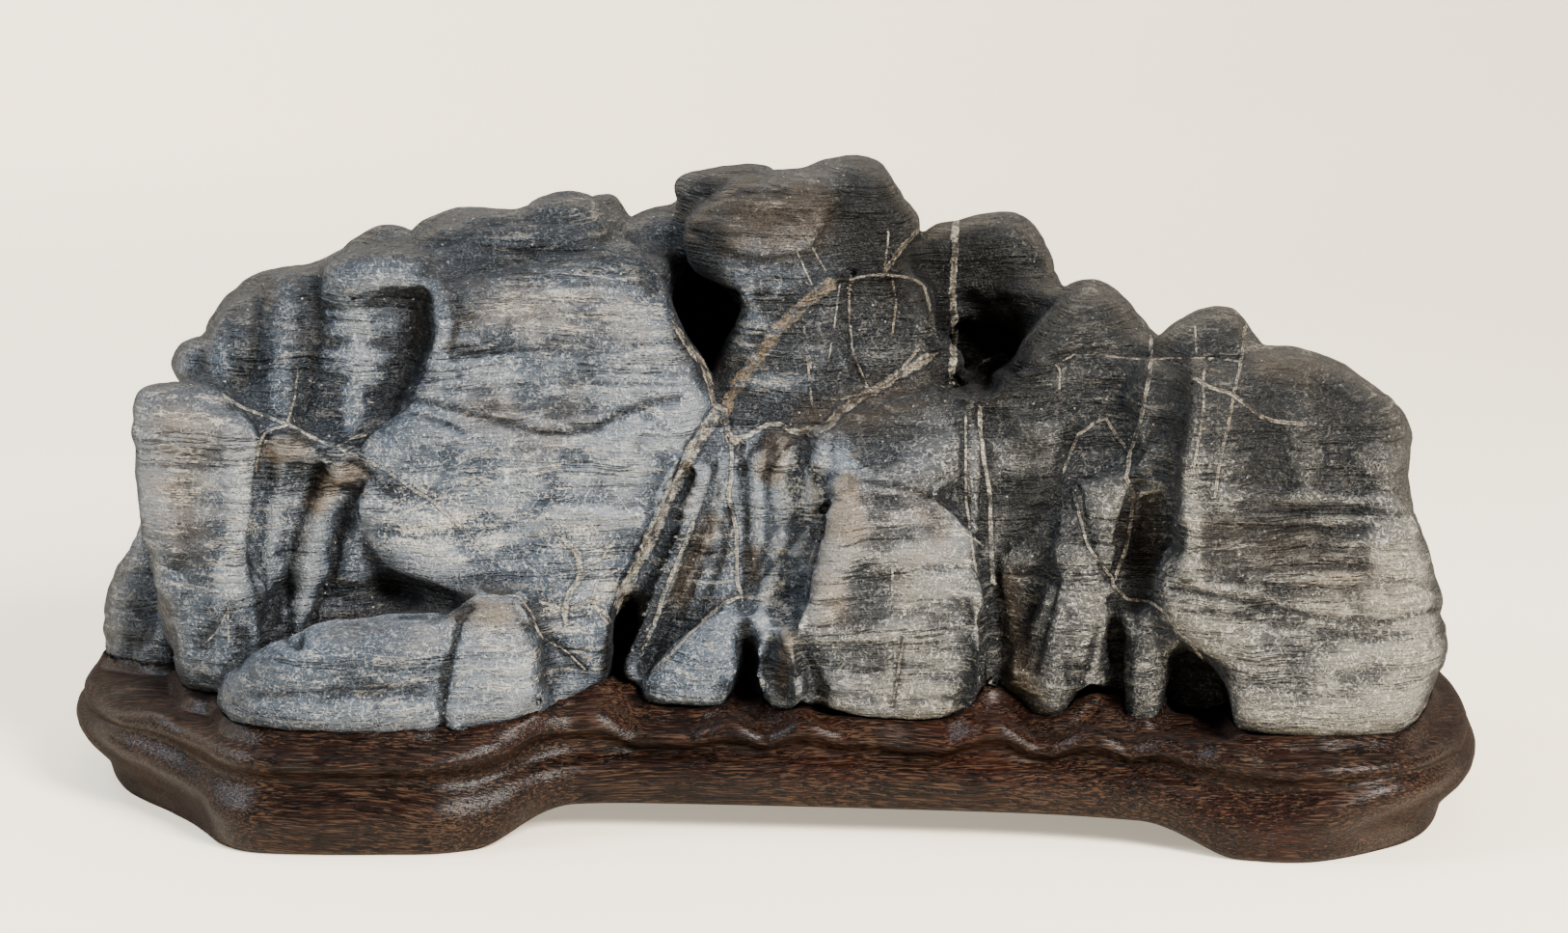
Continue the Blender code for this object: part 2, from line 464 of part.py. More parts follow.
def keepLargest(thing):
    # leaves the one outer skin and drops pockets closed inside the stone
    shape = bmesh.new()
    shape.from_mesh(thing.data)
    shape.verts.ensure_lookup_table()
    unseen = set(shape.verts)
    skins = []
    while unseen:
        skin = set()
        edge = [unseen.pop()]
        while edge:
            corner = edge.pop()
            skin.add(corner)
            for link in corner.link_edges:
                other = link.other_vert(corner)
                if other in unseen:
                    unseen.remove(other)
                    edge.append(other)
        skins.append(skin)
    skins.sort(key=len)
    spare = [corner for skin in skins[:-1] for corner in skin]
    bmesh.ops.delete(shape, geom=spare, context="VERTS")
    shape.to_mesh(thing.data)
    shape.free()


def makeStand(rock):
    # the plan drawn in by each step of the side, joined ring to ring
    plan = smoothLoop(standPlan, standSides)
    plan -= 0.5 * (plan.max(axis=0) + plan.min(axis=0))
    span = plan[:, 0].max() - plan[:, 0].min()
    plan *= standLength / span
    ahead = np.roll(plan, -1, axis=0) - np.roll(plan, 1, axis=0)
    inward = np.stack([-ahead[:, 1], ahead[:, 0]], axis=1)
    inward /= np.linalg.norm(inward, axis=1)[:, None]
    rings = []
    for inset, height in standSide:
        ring = plan + inward * inset
        rings.append(np.column_stack([ring, np.full(len(ring), height)]))
    points = np.concatenate(rings) * mm
    count = len(plan)
    faces = [tuple(range(count - 1, -1, -1))]
    for level in range(len(rings) - 1):
        for side in range(count):
            after = (side + 1) % count
            low = level * count
            faces.append((low + side, low + after, low + count + after, low + count + side))
    faces.append(tuple(range(len(points) - count, len(points))))
    stand = makeObject("stand", points, faces)
    faceOutward(stand)
    arch = makeArch()
    seat = makeSeat(rock)
    addModifier(stand, "BOOLEAN", operation="DIFFERENCE", object=arch)
    addModifier(stand, "BOOLEAN", operation="DIFFERENCE", object=seat)
    bakeModifiers(stand)
    keepLargest(stand)
    stand.data.materials.clear()
    stand.data.materials.append(makeMaterial("dark_hardwood", woodColour, woodRoughness))
    return stand


def makeArch():
    # the space under the stand between its feet; its ends rise as half a cosine wave
    rise = [0.5 - 0.5 * math.cos(math.pi * step / archSteps) for step in range(archSteps + 1)]
    run = [archTurn * (1 - step / archSteps) for step in range(archSteps + 1)]
    outline = [(archRight + archTurn, -archBelow)]
    for step in range(archSteps + 1):
        outline.append((archRight + run[step], feetHeight * rise[step]))
    for step in range(archSteps, -1, -1):
        outline.append((archLeft - run[step], feetHeight * rise[step]))
    outline.append((archLeft - archTurn, -archBelow))
    count = len(outline)
    points = [(x * mm, y * mm, z * mm) for y in (-archReach, archReach) for x, z in outline]
    faces = [tuple(range(count)), tuple(range(2 * count - 1, count - 1, -1))]
    for side in range(count):
        after = (side + 1) % count
        faces.append((side, side + count, after + count, after))
    arch = makeObject("foot_arch", points, faces)
    faceOutward(arch)
    arch.hide_render = True
    arch.display_type = "WIRE"
    return arch


def makeSeat(rock):
    # a slightly larger copy of the stone, which cuts its own seat in the wood
    seat = rock.copy()
    seat.data = rock.data.copy()
    seat.name = "seat_cutter"
    bpy.context.scene.collection.objects.link(seat)
    for corner in seat.data.vertices:
        onUnderside = corner.co.z < (seatHeight + underside) * mm
        corner.co += Vector(corner.normal) * seatGap * mm
        if onUnderside:
            corner.co.z = (seatHeight - seatGap) * mm
    seat.hide_render = True
    seat.display_type = "WIRE"
    return seat


clearScene()
rockObject = makeRock()
standObject = makeStand(rockObject)
for thing in (rockObject, standObject):
    print(thing.name, countTriangles(thing), [round(size, 4) for size in thing.dimensions])
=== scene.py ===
# Scholar's rock on its carved wood stand: the looks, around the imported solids.
# Lengths in the tables are millimetres; X runs right, Y away from the viewer, Z up.
import math

import bmesh
import bpy
import numpy as np
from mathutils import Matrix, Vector


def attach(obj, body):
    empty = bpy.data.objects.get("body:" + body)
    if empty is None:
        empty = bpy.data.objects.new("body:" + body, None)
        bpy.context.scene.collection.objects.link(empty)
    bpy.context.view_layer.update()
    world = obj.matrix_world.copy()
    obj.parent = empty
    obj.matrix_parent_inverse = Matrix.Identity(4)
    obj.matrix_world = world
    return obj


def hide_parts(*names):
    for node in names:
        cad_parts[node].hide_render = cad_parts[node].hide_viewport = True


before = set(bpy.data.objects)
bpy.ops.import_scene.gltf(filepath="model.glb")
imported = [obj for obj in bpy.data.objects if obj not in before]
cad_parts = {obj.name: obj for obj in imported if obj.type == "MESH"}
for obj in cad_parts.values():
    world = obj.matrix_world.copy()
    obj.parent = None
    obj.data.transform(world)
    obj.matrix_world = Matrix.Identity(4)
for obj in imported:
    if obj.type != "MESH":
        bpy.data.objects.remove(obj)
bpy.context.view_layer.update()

mm = 0.001

# deeper than any of the stone: the depth where a line of sight misses a lobe
farDepth = 200.0
# veins that cross each other are in different groups
veinGroups = 3

# how the object is looked at; u (across) and v (up) in the tables below are millimetres
# on the upright plane through the stone's middle, seen from here
view = {"down": math.radians(12.5), "distance": 1059.0, "target": (5.0, 0.0, 88.0),
        "shift": -3.0, "lens": 85.0, "sensor": 36.0}

# what a user would change on the stone, in millimetres
stone = {
    "seat": 24.0, "seed": 7, "faces": 190000,
    # each lobe's own mesh, and the mesh that joins them
    "sides": 72, "rings": 26, "backRoundness": 2.5, "voxel": 1.25, "smooth": 2,
    # the skin over narrow gaps: the widest that it closes, the least step that it takes,
    # its thickness, and the part of the picture that it covers
    "fill": 7, "fillLeast": 0.3, "skinDepth": 4.0, "skinAcross": (-205.0, 206.0),
    "skinUp": (0.0, 186.0),
    # turns of averaging: before the wear, for the hollows and flanks that the material
    # darkens as painted shade, and for the tops that it darkens, tops between two heights
    "ease": 30, "easeShare": 0.6, "fineTurns": 6, "broadTurns": 40, "topTurns": 12,
    "topHeights": (50.0, 130.0)}

# The stone is a union of worn lobes. Each has a name, the depth of its front and back
# (mm along Y), the roundness of its front (2 is an ellipsoid, 5 a flat face with a worn
# edge), how far its depth changes per mm across and up, and its outline (u, v).
lobes = [
    # big smooth block at the left, and what lies on and beside it
    ("face block", -36, 34, 9.0, 0.02, 0.27, [(-101, 136), (-97, 141), (-88, 143), (-78, 144),
        (-70, 148), (-60, 149), (-50, 151), (-43, 153), (-38, 149), (-33, 142), (-30, 133),
        (-27, 125), (-22, 117), (-18, 108), (-20, 101), (-27, 92), (-32, 80), (-36, 68),
        (-42, 57), (-46, 42), (-49, 28), (-58, 24), (-65, 20), (-69, 32), (-69, 44), (-74, 51),
        (-85, 52), (-97, 53), (-106, 57), (-114, 62), (-118, 72), (-120, 82), (-118, 93),
        (-112, 105), (-105, 114), (-101, 124)]),
    ("knot bed", -20, 20, 4.0, 0.0, 0.2, [(-27, 104), (-22, 110), (-16, 112), (-10, 108),
        (-8, 99), (-13, 90), (-22, 86), (-28, 94)]),
    ("shoulder", -8, 48, 4.0, 0.0, 0.6, [(-106, 150), (-103, 155), (-97, 159), (-90, 162),
        (-80, 162), (-74, 162), (-68, 165), (-60, 166), (-53, 165), (-48, 161), (-44, 155),
        (-40, 150), (-46, 140), (-60, 136), (-80, 135), (-95, 138), (-104, 144)]),
    ("brow", -21, 40, 3.2, 0.0, 0.4, [(-133, 143), (-130, 147), (-122, 150), (-113, 152),
        (-104, 152), (-97, 149), (-96, 143), (-103, 139), (-112, 138), (-120, 140),
        (-128, 140)]),
    ("rear hump", 14, 48, 2.5, 0.0, 0.2, [(-123, 148), (-119, 153), (-112, 156), (-106, 155),
        (-102, 152), (-99, 146), (-108, 141), (-118, 142)]),
    ("curtain bed", -17, 30, 4.0, 0.0, 0.18, [(-166, 112), (-165, 119), (-162, 127),
        (-157, 134), (-150, 138), (-144, 142), (-136, 144), (-126, 143), (-114, 142),
        (-104, 140), (-99, 132), (-101, 122), (-106, 112), (-112, 104), (-118, 95), (-124, 92),
        (-132, 97), (-141, 101), (-150, 105), (-158, 107)]),
    ("knob", -9, 16, 2.2, 0.0, 0.0, [(-172, 116), (-171, 120), (-168, 123), (-164, 124),
        (-161, 119), (-161, 112), (-164, 108), (-170, 110)]),
    ("left plate", -23, 20, 5.0, 0.0, 0.15, [(-160, 107), (-154, 115), (-147, 118), (-140, 117),
        (-132, 114), (-122, 110), (-113, 107), (-115, 99), (-118, 92), (-108, 82), (-100, 76),
        (-104, 72), (-118, 82), (-130, 90), (-143, 96), (-152, 100)]),
    ("fracture band", -40, 0, 3.5, 0.05, 0.2, [(-149, 96), (-142, 101), (-130, 96), (-118, 89),
        (-104, 84), (-92, 76), (-94, 64), (-108, 63), (-116, 70), (-121, 80), (-129, 88),
        (-140, 94)]),
    ("left mass", -8, 62, 3.0, 0.0, 0.2, [(-170, 111), (-167, 118), (-162, 124), (-160, 130),
        (-156, 136), (-151, 141), (-145, 143), (-138, 145), (-130, 147), (-120, 149),
        (-105, 151), (-92, 150), (-88, 130), (-92, 108), (-108, 94), (-130, 86), (-150, 88),
        (-164, 97)]),
    # pillars and boulders at the lower left
    ("shield", -43, -2, 5.5, -0.12, 0.12, [(-182, 107), (-180, 110), (-175, 111), (-169, 112),
        (-164, 111), (-159, 108), (-154, 103), (-150, 98), (-147, 93), (-149, 84), (-150, 75),
        (-151, 66), (-149, 57), (-146, 50), (-147, 41), (-150, 32), (-156, 25), (-161, 22),
        (-167, 24), (-171, 29), (-173, 38), (-176, 48), (-179, 60), (-181, 72), (-182, 84),
        (-183, 98)]),
    ("far lobe", -3, 44, 3.0, 0.0, 0.1, [(-178, 74), (-182, 70), (-186, 63), (-190, 56),
        (-192, 50), (-193, 44), (-192, 37), (-191, 31), (-186, 28), (-176, 30), (-164, 36),
        (-160, 52), (-166, 68)]),
    ("far toe", -10, 22, 2.3, 0.0, 0.2, [(-185, 31), (-184, 36), (-180, 41), (-175, 44),
        (-169, 43), (-167, 34), (-172, 29), (-180, 29)]),
    ("pillar bed", -33, 12, 4.5, 0.08, 0.1, [(-152, 40), (-153, 60), (-151, 78), (-149, 92),
        (-145, 97), (-139, 97), (-132, 93), (-126, 90), (-118, 88), (-112, 82), (-108, 74),
        (-108, 64), (-104, 56), (-92, 52), (-84, 50), (-84, 42), (-100, 36), (-120, 32),
        (-140, 28), (-150, 32)]),
    ("fold bed", -33, 0, 3.5, 0.0, 0.22, [(-22, 86), (-19, 98), (-14, 104), (-6, 105), (2, 101),
        (9, 98), (16, 94), (20, 86), (19, 76), (16, 66), (12, 57), (8, 49), (4, 42), (-2, 44),
        (-8, 47), (-12, 44), (-20, 38), (-28, 32), (-34, 28), (-42, 26), (-43, 34), (-39, 44),
        (-35, 55), (-30, 66), (-26, 77)]),
    ("long boulder", -76, -24, 3.6, 0.0, 0.3, [(-160, 20), (-158, 26), (-153, 30), (-147, 34),
        (-140, 38), (-132, 41), (-122, 43), (-112, 45), (-102, 46), (-94, 45), (-91, 32),
        (-92, 20), (-94, 12), (-105, 11), (-120, 11), (-135, 12), (-150, 13), (-157, 15)]),
    ("end boulder", -73, -26, 5.0, 0.0, 0.3, [(-96, 44), (-92, 48), (-86, 51), (-78, 51),
        (-73, 49), (-70, 42), (-67, 32), (-66, 24), (-67, 19), (-73, 16), (-84, 13), (-93, 12),
        (-97, 22), (-96, 33)]),
    # slanting ridges and feet below the middle
    ("wedge foot", -55, -16, 4.0, 0.0, 0.5, [(-10, 50), (-15, 50), (-18, 47), (-23, 43),
        (-28, 39), (-33, 34), (-37, 28), (-39, 23), (-37, 20), (-30, 19), (-22, 18), (-16, 18),
        (-14, 21), (-12, 26), (-10, 31), (-10, 38), (-10, 45)]),
    ("narrow foot", -57, -20, 3.2, 0.0, 0.4, [(-8, 48), (-4, 50), (0, 44), (2, 38), (4, 32),
        (5, 26), (6, 21), (4, 17), (1, 16), (-2, 17), (-4, 22), (-5, 28), (-6, 34), (-8, 40)]),
    ("blue wedge", -49, -15, 3.0, 0.0, 0.4, [(2, 42), (7, 39), (12, 33), (16, 27), (17, 20),
        (11, 18), (8, 20), (7, 26), (5, 33)]),
    # central block with its sloping shelf
    ("central block", -62, -8, 7.0, 0.0, 0.3, [(20, 84), (27, 84), (35, 83), (43, 81), (48, 77),
        (52, 71), (55, 65), (57, 58), (58, 50), (58, 40), (58, 30), (58, 24), (55, 18),
        (50, 15), (44, 14), (36, 14), (28, 15), (20, 17), (14, 19), (12, 27), (8, 35), (5, 41),
        (8, 49), (12, 57), (16, 66), (18, 75)]),
    ("sloping shelf", -42, 6, 4.5, 0.0, 0.8, [(8, 97), (14, 101), (20, 104), (28, 107),
        (38, 109), (48, 110), (54, 108), (57, 104), (55, 96), (54, 88), (50, 82), (42, 79),
        (30, 77), (20, 79), (14, 86)]),
    ("block flank", -40, 0, 2.5, 0.0, 0.2, [(54, 105), (58, 105), (61, 96), (62, 85), (63, 75),
        (63, 65), (62, 56), (60, 50), (56, 55), (51, 66), (47, 76), (47, 84), (51, 90),
        (53, 98)]),
    # blocks right of the black cleft, and the summits
    ("cleft block", -13, 42, 7.0, 0.0, 0.22, [(-10, 140), (-8, 145), (0, 148), (8, 150),
        (15, 147), (20, 142), (21, 134), (20, 124), (18, 114), (14, 107), (8, 104), (0, 102),
        (-8, 100), (-13, 103), (-16, 108), (-18, 113), (-15, 119), (-13, 124), (-10, 130),
        (-9, 135)]),
    ("square block", -11, 36, 7.0, 0.0, 0.22, [(20, 139), (24, 143), (32, 144), (38, 143),
        (43, 140), (45, 134), (46, 127), (44, 121), (40, 117), (34, 113), (27, 110), (22, 112),
        (20, 120), (19, 130)]),
    ("block base", -15, 30, 4.0, 0.0, 0.5, [(-2, 95), (8, 98), (22, 103), (36, 108), (48, 112),
        (54, 118), (46, 125), (30, 121), (20, 117), (6, 108), (-6, 102)]),
    ("tan summit", -8, 44, 4.0, 0.0, 0.45, [(-27, 156), (-25, 161), (-20, 165), (-16, 168),
        (-12, 170), (-5, 171), (5, 172), (12, 173), (18, 172), (20, 166), (19, 158), (16, 151),
        (12, 147), (5, 144), (-3, 141), (-11, 139), (-18, 141), (-24, 145), (-27, 150)]),
    ("dark summit", 0, 50, 3.6, 0.0, 0.3, [(6, 170), (11, 174), (17, 176), (22, 177), (27, 176),
        (31, 174), (34, 170), (37, 165), (39, 161), (40, 156), (38, 151), (32, 147), (24, 145),
        (16, 146), (11, 152), (8, 162)]),
    ("left summit", 18, 60, 3.6, 0.0, 0.1, [(-29, 158), (-29, 164), (-28, 169), (-25, 171),
        (-20, 172), (-14, 173), (-8, 174), (-2, 172), (0, 160), (-8, 148), (-22, 145),
        (-28, 150)]),
    ("gap hump", 26, 62, 2.4, 0.0, 0.1, [(-55, 162), (-52, 166), (-47, 166), (-44, 161),
        (-40, 154), (-43, 146), (-50, 147), (-56, 154)]),
    ("gap ridge", 22, 60, 2.4, 0.0, 0.1, [(-43, 156), (-38, 161), (-32, 163), (-27, 163),
        (-24, 154), (-26, 144), (-33, 139), (-40, 146)]),
    ("dark dome", 18, 62, 3.4, 0.0, 0.15, [(37, 149), (41, 153), (46, 156), (52, 157),
        (57, 159), (62, 160), (68, 160), (72, 157), (76, 151), (79, 147), (80, 142), (80, 136),
        (78, 130), (71, 126), (60, 126), (50, 130), (42, 134), (37, 142)]),
    ("blue fold", 8, 40, 2.2, 0.0, 0.0, [(63, 137), (66, 141), (70, 143), (75, 142), (78, 137),
        (74, 133), (67, 132)]),
    # right half
    ("crest", -24, 50, 3.4, 0.0, 0.5, [(61, 114), (68, 122), (74, 129), (79, 135), (84, 140),
        (90, 142), (96, 139), (101, 133), (105, 127), (109, 123), (108, 117), (98, 116),
        (88, 116), (80, 115), (72, 112), (66, 110)]),
    ("under crest", -29, 22, 4.5, 0.0, 0.4, [(59, 107), (66, 110), (74, 113), (81, 118),
        (90, 119), (100, 119), (107, 117), (111, 110), (108, 100), (104, 92), (98, 86),
        (90, 83), (82, 83), (76, 85), (70, 89), (63, 95)]),
    ("right crest", -38, 42, 3.2, 0.0, 0.6, [(106, 120), (112, 127), (117, 130), (122, 132),
        (127, 133), (131, 132), (134, 129), (137, 124), (140, 119), (135, 115), (125, 114),
        (115, 114), (108, 115)]),
    ("inner wall", -43, 6, 5.0, 0.0, 0.3, [(56, 106), (64, 108), (72, 106), (80, 103),
        (88, 100), (96, 102), (104, 100), (110, 94), (114, 84), (114, 74), (113, 64), (110, 55),
        (106, 44), (104, 30), (98, 22), (88, 26), (80, 18), (72, 14), (66, 18), (64, 30),
        (63, 44), (61, 58), (60, 72), (59, 84), (57, 95)]),
    ("crack wall", -47, 0, 2.2, 0.0, 0.3, [(61, 62), (67, 64), (73, 60), (75, 46), (74, 28),
        (71, 15), (63, 13), (61, 27), (61, 45)]),
    ("flute flank", -51, 0, 6.0, -0.9, 0.3, [(101, 88), (100, 98), (101, 108), (104, 116),
        (108, 120), (114, 120), (121, 119), (124, 112), (124, 100), (123, 88), (118, 78),
        (112, 75), (106, 79)]),
    ("pointed plate", -50, -15, 5.0, 0.0, 0.25, [(84, 86), (88, 85), (94, 87), (100, 88),
        (101, 78), (99, 68), (97, 58), (95, 55), (91, 62), (87, 70), (84, 78)]),
    ("middle foot", -63, -20, 3.0, 0.0, 0.35, [(71, 18), (69, 26), (70, 34), (71, 42), (73, 48),
        (75, 55), (77, 62), (80, 69), (83, 76), (87, 81), (92, 76), (96, 68), (97, 58),
        (97, 48), (96, 40), (94, 32), (90, 27), (86, 22), (83, 17), (80, 14), (77, 13),
        (73, 14)]),
    ("round foot", -67, -24, 3.2, 0.0, 0.35, [(99, 14), (98, 22), (98, 30), (99, 38), (100, 46),
        (104, 52), (111, 53), (116, 47), (117, 40), (113, 35), (112, 28), (111, 20), (109, 15),
        (106, 12), (102, 12)]),
    ("cave wall", -46, -10, 3.0, 0.0, 0.1, [(111, 14), (112, 34), (118, 40), (126, 34),
        (131, 24), (129, 12), (120, 9)]),
    ("great right face", -71, 8, 8.0, 0.0, 0.3, [(117, 118), (121, 119), (128, 119), (135, 120),
        (145, 121), (152, 120), (157, 119), (161, 118), (165, 115), (170, 111), (175, 107),
        (178, 103), (180, 97), (180, 88), (181, 80), (183, 73), (185, 65), (187, 57), (189, 49),
        (190, 42), (191, 36), (190, 30), (187, 25), (183, 18), (178, 12), (170, 10), (158, 9),
        (145, 9), (135, 10), (130, 13), (129, 24), (126, 31), (120, 35), (115, 39), (110, 44),
        (107, 52), (109, 59), (113, 66), (113, 73), (114, 82), (115, 92), (115, 104),
        (115, 112)]),
    # the masses behind
    ("left core", -14, 74, 4.0, 0.0, 0.1, [(-164, 40), (-168, 60), (-165, 85), (-158, 108),
        (-150, 126), (-135, 136), (-110, 142), (-80, 147), (-56, 149), (-43, 140), (-38, 125),
        (-36, 100), (-38, 80), (-47, 60), (-54, 40), (-60, 14), (-90, 8), (-128, 10),
        (-152, 22)]),
    ("middle core", 0, 80, 4.0, 0.0, 0.1, [(-60, 14), (-51, 60), (-38, 84), (-22, 94), (0, 93),
        (20, 97), (50, 101), (70, 95), (85, 80), (92, 60), (90, 14), (60, 4), (20, 4),
        (-20, 6)]),
    ("upper core", 34, 78, 3.0, 0.0, 0.05, [(-14, 92), (-16, 138), (-12, 155), (0, 164),
        (20, 166), (34, 160), (45, 152), (60, 152), (71, 146), (75, 130), (66, 108), (50, 94),
        (20, 84)]),
    ("right core", -29, 66, 4.0, -0.1, 0.15, [(66, 98), (70, 114), (84, 127), (100, 122),
        (120, 123), (136, 115), (155, 110), (168, 99), (172, 80), (174, 55), (172, 34),
        (160, 8), (132, 6), (100, 8), (88, 30), (76, 66)]),
    ("cleft back", 50, 78, 3.0, 0.0, 0.0, [(-52, 96), (-52, 136), (-42, 152), (-30, 156),
        (-16, 154), (-6, 136), (-8, 100), (-30, 88)]),
    # the side that the picture doesn't show
    ("rear left block", 34, 78, 3.4, -0.15, -0.05, [(-136, 116), (-122, 128), (-102, 133),
        (-84, 126), (-80, 96), (-86, 62), (-92, 28), (-118, 24), (-138, 32), (-147, 62),
        (-146, 92)]),
    ("rear pillar", 46, 83, 2.6, 0.0, -0.05, [(-76, 124), (-62, 134), (-44, 128), (-39, 102),
        (-43, 70), (-39, 34), (-58, 22), (-84, 28), (-80, 66), (-84, 98)]),
    ("rear wall", 42, 80, 3.6, 0.0, -0.04, [(-42, 136), (-18, 148), (4, 156), (24, 148),
        (31, 118), (26, 84), (34, 44), (14, 20), (-24, 20), (-48, 32), (-44, 72), (-47, 104)]),
    ("rear ridge", 44, 82, 2.4, 0.1, -0.05, [(40, 134), (54, 142), (68, 132), (73, 104),
        (64, 72), (70, 38), (52, 22), (36, 32), (40, 70), (34, 104)]),
    ("rear right block", 28, 74, 3.4, -0.12, -0.05, [(82, 120), (100, 112), (122, 114),
        (140, 102), (150, 88), (155, 60), (153, 34), (136, 20), (106, 20), (82, 32), (78, 68),
        (74, 98)]),
    ("rear low boulder", 50, 87, 2.8, 0.0, -0.2, [(-128, 46), (-110, 58), (-88, 55), (-72, 42),
        (-78, 24), (-102, 20), (-122, 26)]),
    ("rear right foot", 50, 84, 2.6, 0.0, -0.2, [(90, 50), (106, 60), (124, 53), (130, 38),
        (118, 24), (100, 20), (84, 34)]),
    ("rear left fold", 50, 83, 2.2, 0.0, -0.05, [(-120, 118), (-108, 125), (-98, 117),
        (-102, 94), (-97, 70), (-104, 46), (-116, 46), (-118, 70), (-111, 94)]),
    ("rear end fold", 44, 76, 2.2, -0.1, 0.0, [(-138, 98), (-130, 107), (-123, 96), (-128, 72),
        (-122, 46), (-133, 38), (-141, 52), (-143, 78)]),
    ("rear ledge", 56, 86, 2.4, 0.0, 0.1, [(-18, 118), (-2, 130), (18, 125), (24, 110),
        (10, 99), (-10, 100), (-22, 107)]),
    ("rear low slab", 52, 84, 3.0, 0.0, -0.05, [(-30, 64), (-12, 74), (8, 68), (20, 50),
        (10, 30), (-16, 26), (-34, 38)]),
    ("rear right fold", 42, 78, 2.2, 0.0, -0.05, [(94, 108), (105, 113), (112, 98), (107, 76),
        (112, 50), (100, 40), (91, 56), (95, 84)]),
    ("rear corner fold", 38, 72, 2.2, -0.1, 0.0, [(122, 104), (133, 102), (140, 84), (133, 60),
        (138, 40), (124, 34), (117, 52), (125, 76)]),
]

# Clefts that go deep into the stone and stay open: (half width, path)
gaps = [
    (8.0, [(-24, 152), (-21, 138), (-21, 126)]),
    (4.0, [(-20, 122), (-18, 114)]),
    (3.0, [(-44, 48), (-46, 38), (-49, 26)]),
    (1.8, [(-8, 44), (-9, 32), (-9, 20)]),
    (1.4, [(62, 58), (62.5, 42), (63, 20)]),
    (2.4, [(97, 40), (97, 28), (96, 14)]),
    (8.0, [(119, 30), (120, 16)]),
    (6.0, [(50, 116), (56, 126), (64, 128)]),
    (4.0, [(66, 116), (60, 114)]),
]

